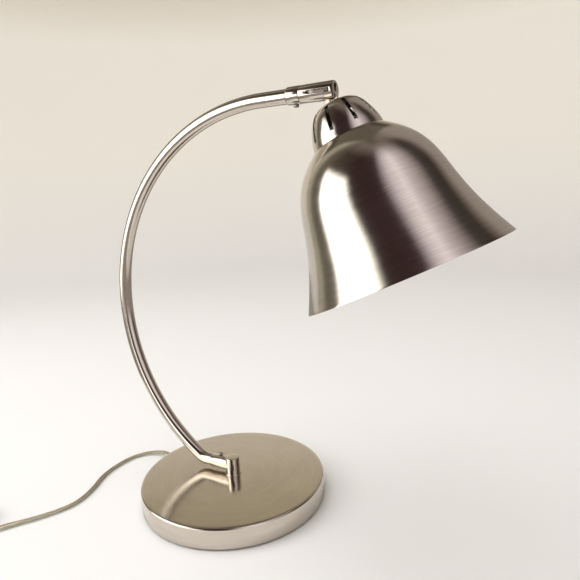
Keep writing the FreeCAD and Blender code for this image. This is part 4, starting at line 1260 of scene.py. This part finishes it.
def screenFinish():
    sheet = startFinish("reflectionScreen")
    away = sheet.node("ShaderNodeVectorMath", {"operation": "SUBTRACT"}, {
        0: sheet.point(), 1: screen["middle"]})
    x, y, z = sheet.split(away)
    behind = y.by("ARCTAN2", x) * (180 / math.pi)
    azimuth = behind - behind.by("GREATER_THAN", 130.0) * 360.0
    rise = z.by("ARCTAN2", (x * x + y * y) ** 0.5) * (180 / math.pi)
    first, last = screen["azimuths"][0][0], screen["azimuths"][-1][0]
    bright = screen["brightest"]
    stops = [((a - first) / (last - first), tuple(c / bright for c in colour))
             for a, colour in screen["azimuths"]]
    seen = sheet.node("ShaderNodeValToRGB", {"stops": stops}, {0: sheet.range(azimuth, first, last)})
    for left, leftSoft, right, rightSoft, topFrom, topTo, strength in screen["boxes"]:
        across = sheet.range(azimuth, left, left + leftSoft)
        across = across * (1 - sheet.range(azimuth, right - rightSoft, right))
        inside = across * (1 - sheet.range(rise, topFrom, topTo))
        share = strength / bright
        seen = sheet.mix(inside, seen, (share, share, share * 0.97))
    ceiling = tuple(c / bright for c in screen["ceiling"])
    seen = sheet.mix(sheet.range(rise, screen["fadeFrom"], screen["fadeTo"]), seen, ceiling)
    glow(sheet, seen, bright)


def forMirrors(name, mesh):  # a stage piece that only reflections see
    mesh.materials.append(finishes[name])
    piece = holderOf(mesh, name)
    for kind in ("camera", "diffuse", "transmission", "shadow"):
        setattr(piece, f"visible_{kind}", False)


def makeScreen():
    columns, rows = screen["columns"], screen["rows"]
    first, last = screen["azimuths"][0][0], screen["azimuths"][-1][0]
    points = []
    for r in range(rows + 1):
        rise = math.radians(screen["low"] + (screen["high"] - screen["low"]) * r / rows)
        for c in range(columns + 1):
            turn = math.radians(first + (last - first) * c / columns)
            points.append(Vector(screen["middle"]) + screen["distance"] * Vector(
                (math.cos(turn) * math.cos(rise), math.sin(turn) * math.cos(rise), math.sin(rise))))
    mesh = bpy.data.meshes.new("reflectionScreen")
    mesh.from_pydata([tuple(p) for p in points], [], quads(rows + 1, columns + 1, False))
    screenFinish()
    forMirrors("reflectionScreen", mesh)
    low, high, level, colour = screen["card"]
    sheet = startFinish("floorCard")
    glow(sheet, (*colour, 1), 1.0)
    forMirrors("floorCard", turnedMesh("floorCard", [(low, level), (high, level)], None, 96, False))


def softLight(name, place, size, energy, colour):
    data = bpy.data.lights.new(name, "AREA")
    data.shape = "DISK"
    data.size = size
    data.energy = energy
    data.color = colour
    lamp = bpy.data.objects.new(name, data)
    aim = (Vector(screen["middle"]) - Vector(place)).to_track_quat("-Z", "Y").to_matrix().to_4x4()
    lamp.matrix_world = moved(*place) @ aim
    lamp.visible_glossy = False
    lamp.visible_camera = False
    scene.collection.objects.link(lamp)


def makeStudio():
    floor, cove, below = studio["floorRadius"], studio["cove"], studio["below"]
    line = [(0.0, below), (0.6, below), (floor, below)]
    line += [(floor + cove * math.sin(a), below + cove * (1 - math.cos(a)))
             for a in (math.radians(degrees) for degrees in range(8, 91, 8))]
    line.append((studio["wallRadius"], studio["wallTop"]))
    mesh = turnedMesh("cove", line, None, 160, False)
    mesh.flip_normals()
    mesh.polygons.foreach_set("use_smooth", [True] * len(mesh.polygons))
    stageFinish()
    mesh.materials.append(finishes["cove"])
    holderOf(mesh, "cove")
    makeScreen()
    for light in studio["lights"]:
        softLight(*light)
    world = bpy.data.worlds.new("world")
    world.use_nodes = True
    scene.world = world
    sheet = Sheet(world.node_tree)
    sky = sheet.node("ShaderNodeBackground", None, {"Color": (*studio["world"], 1), "Strength": 1.0})
    sheet.node("ShaderNodeOutputWorld", None, {"Surface": sky})
    scene.view_settings.view_transform = "Standard"


makeStudio()
print("studio made")
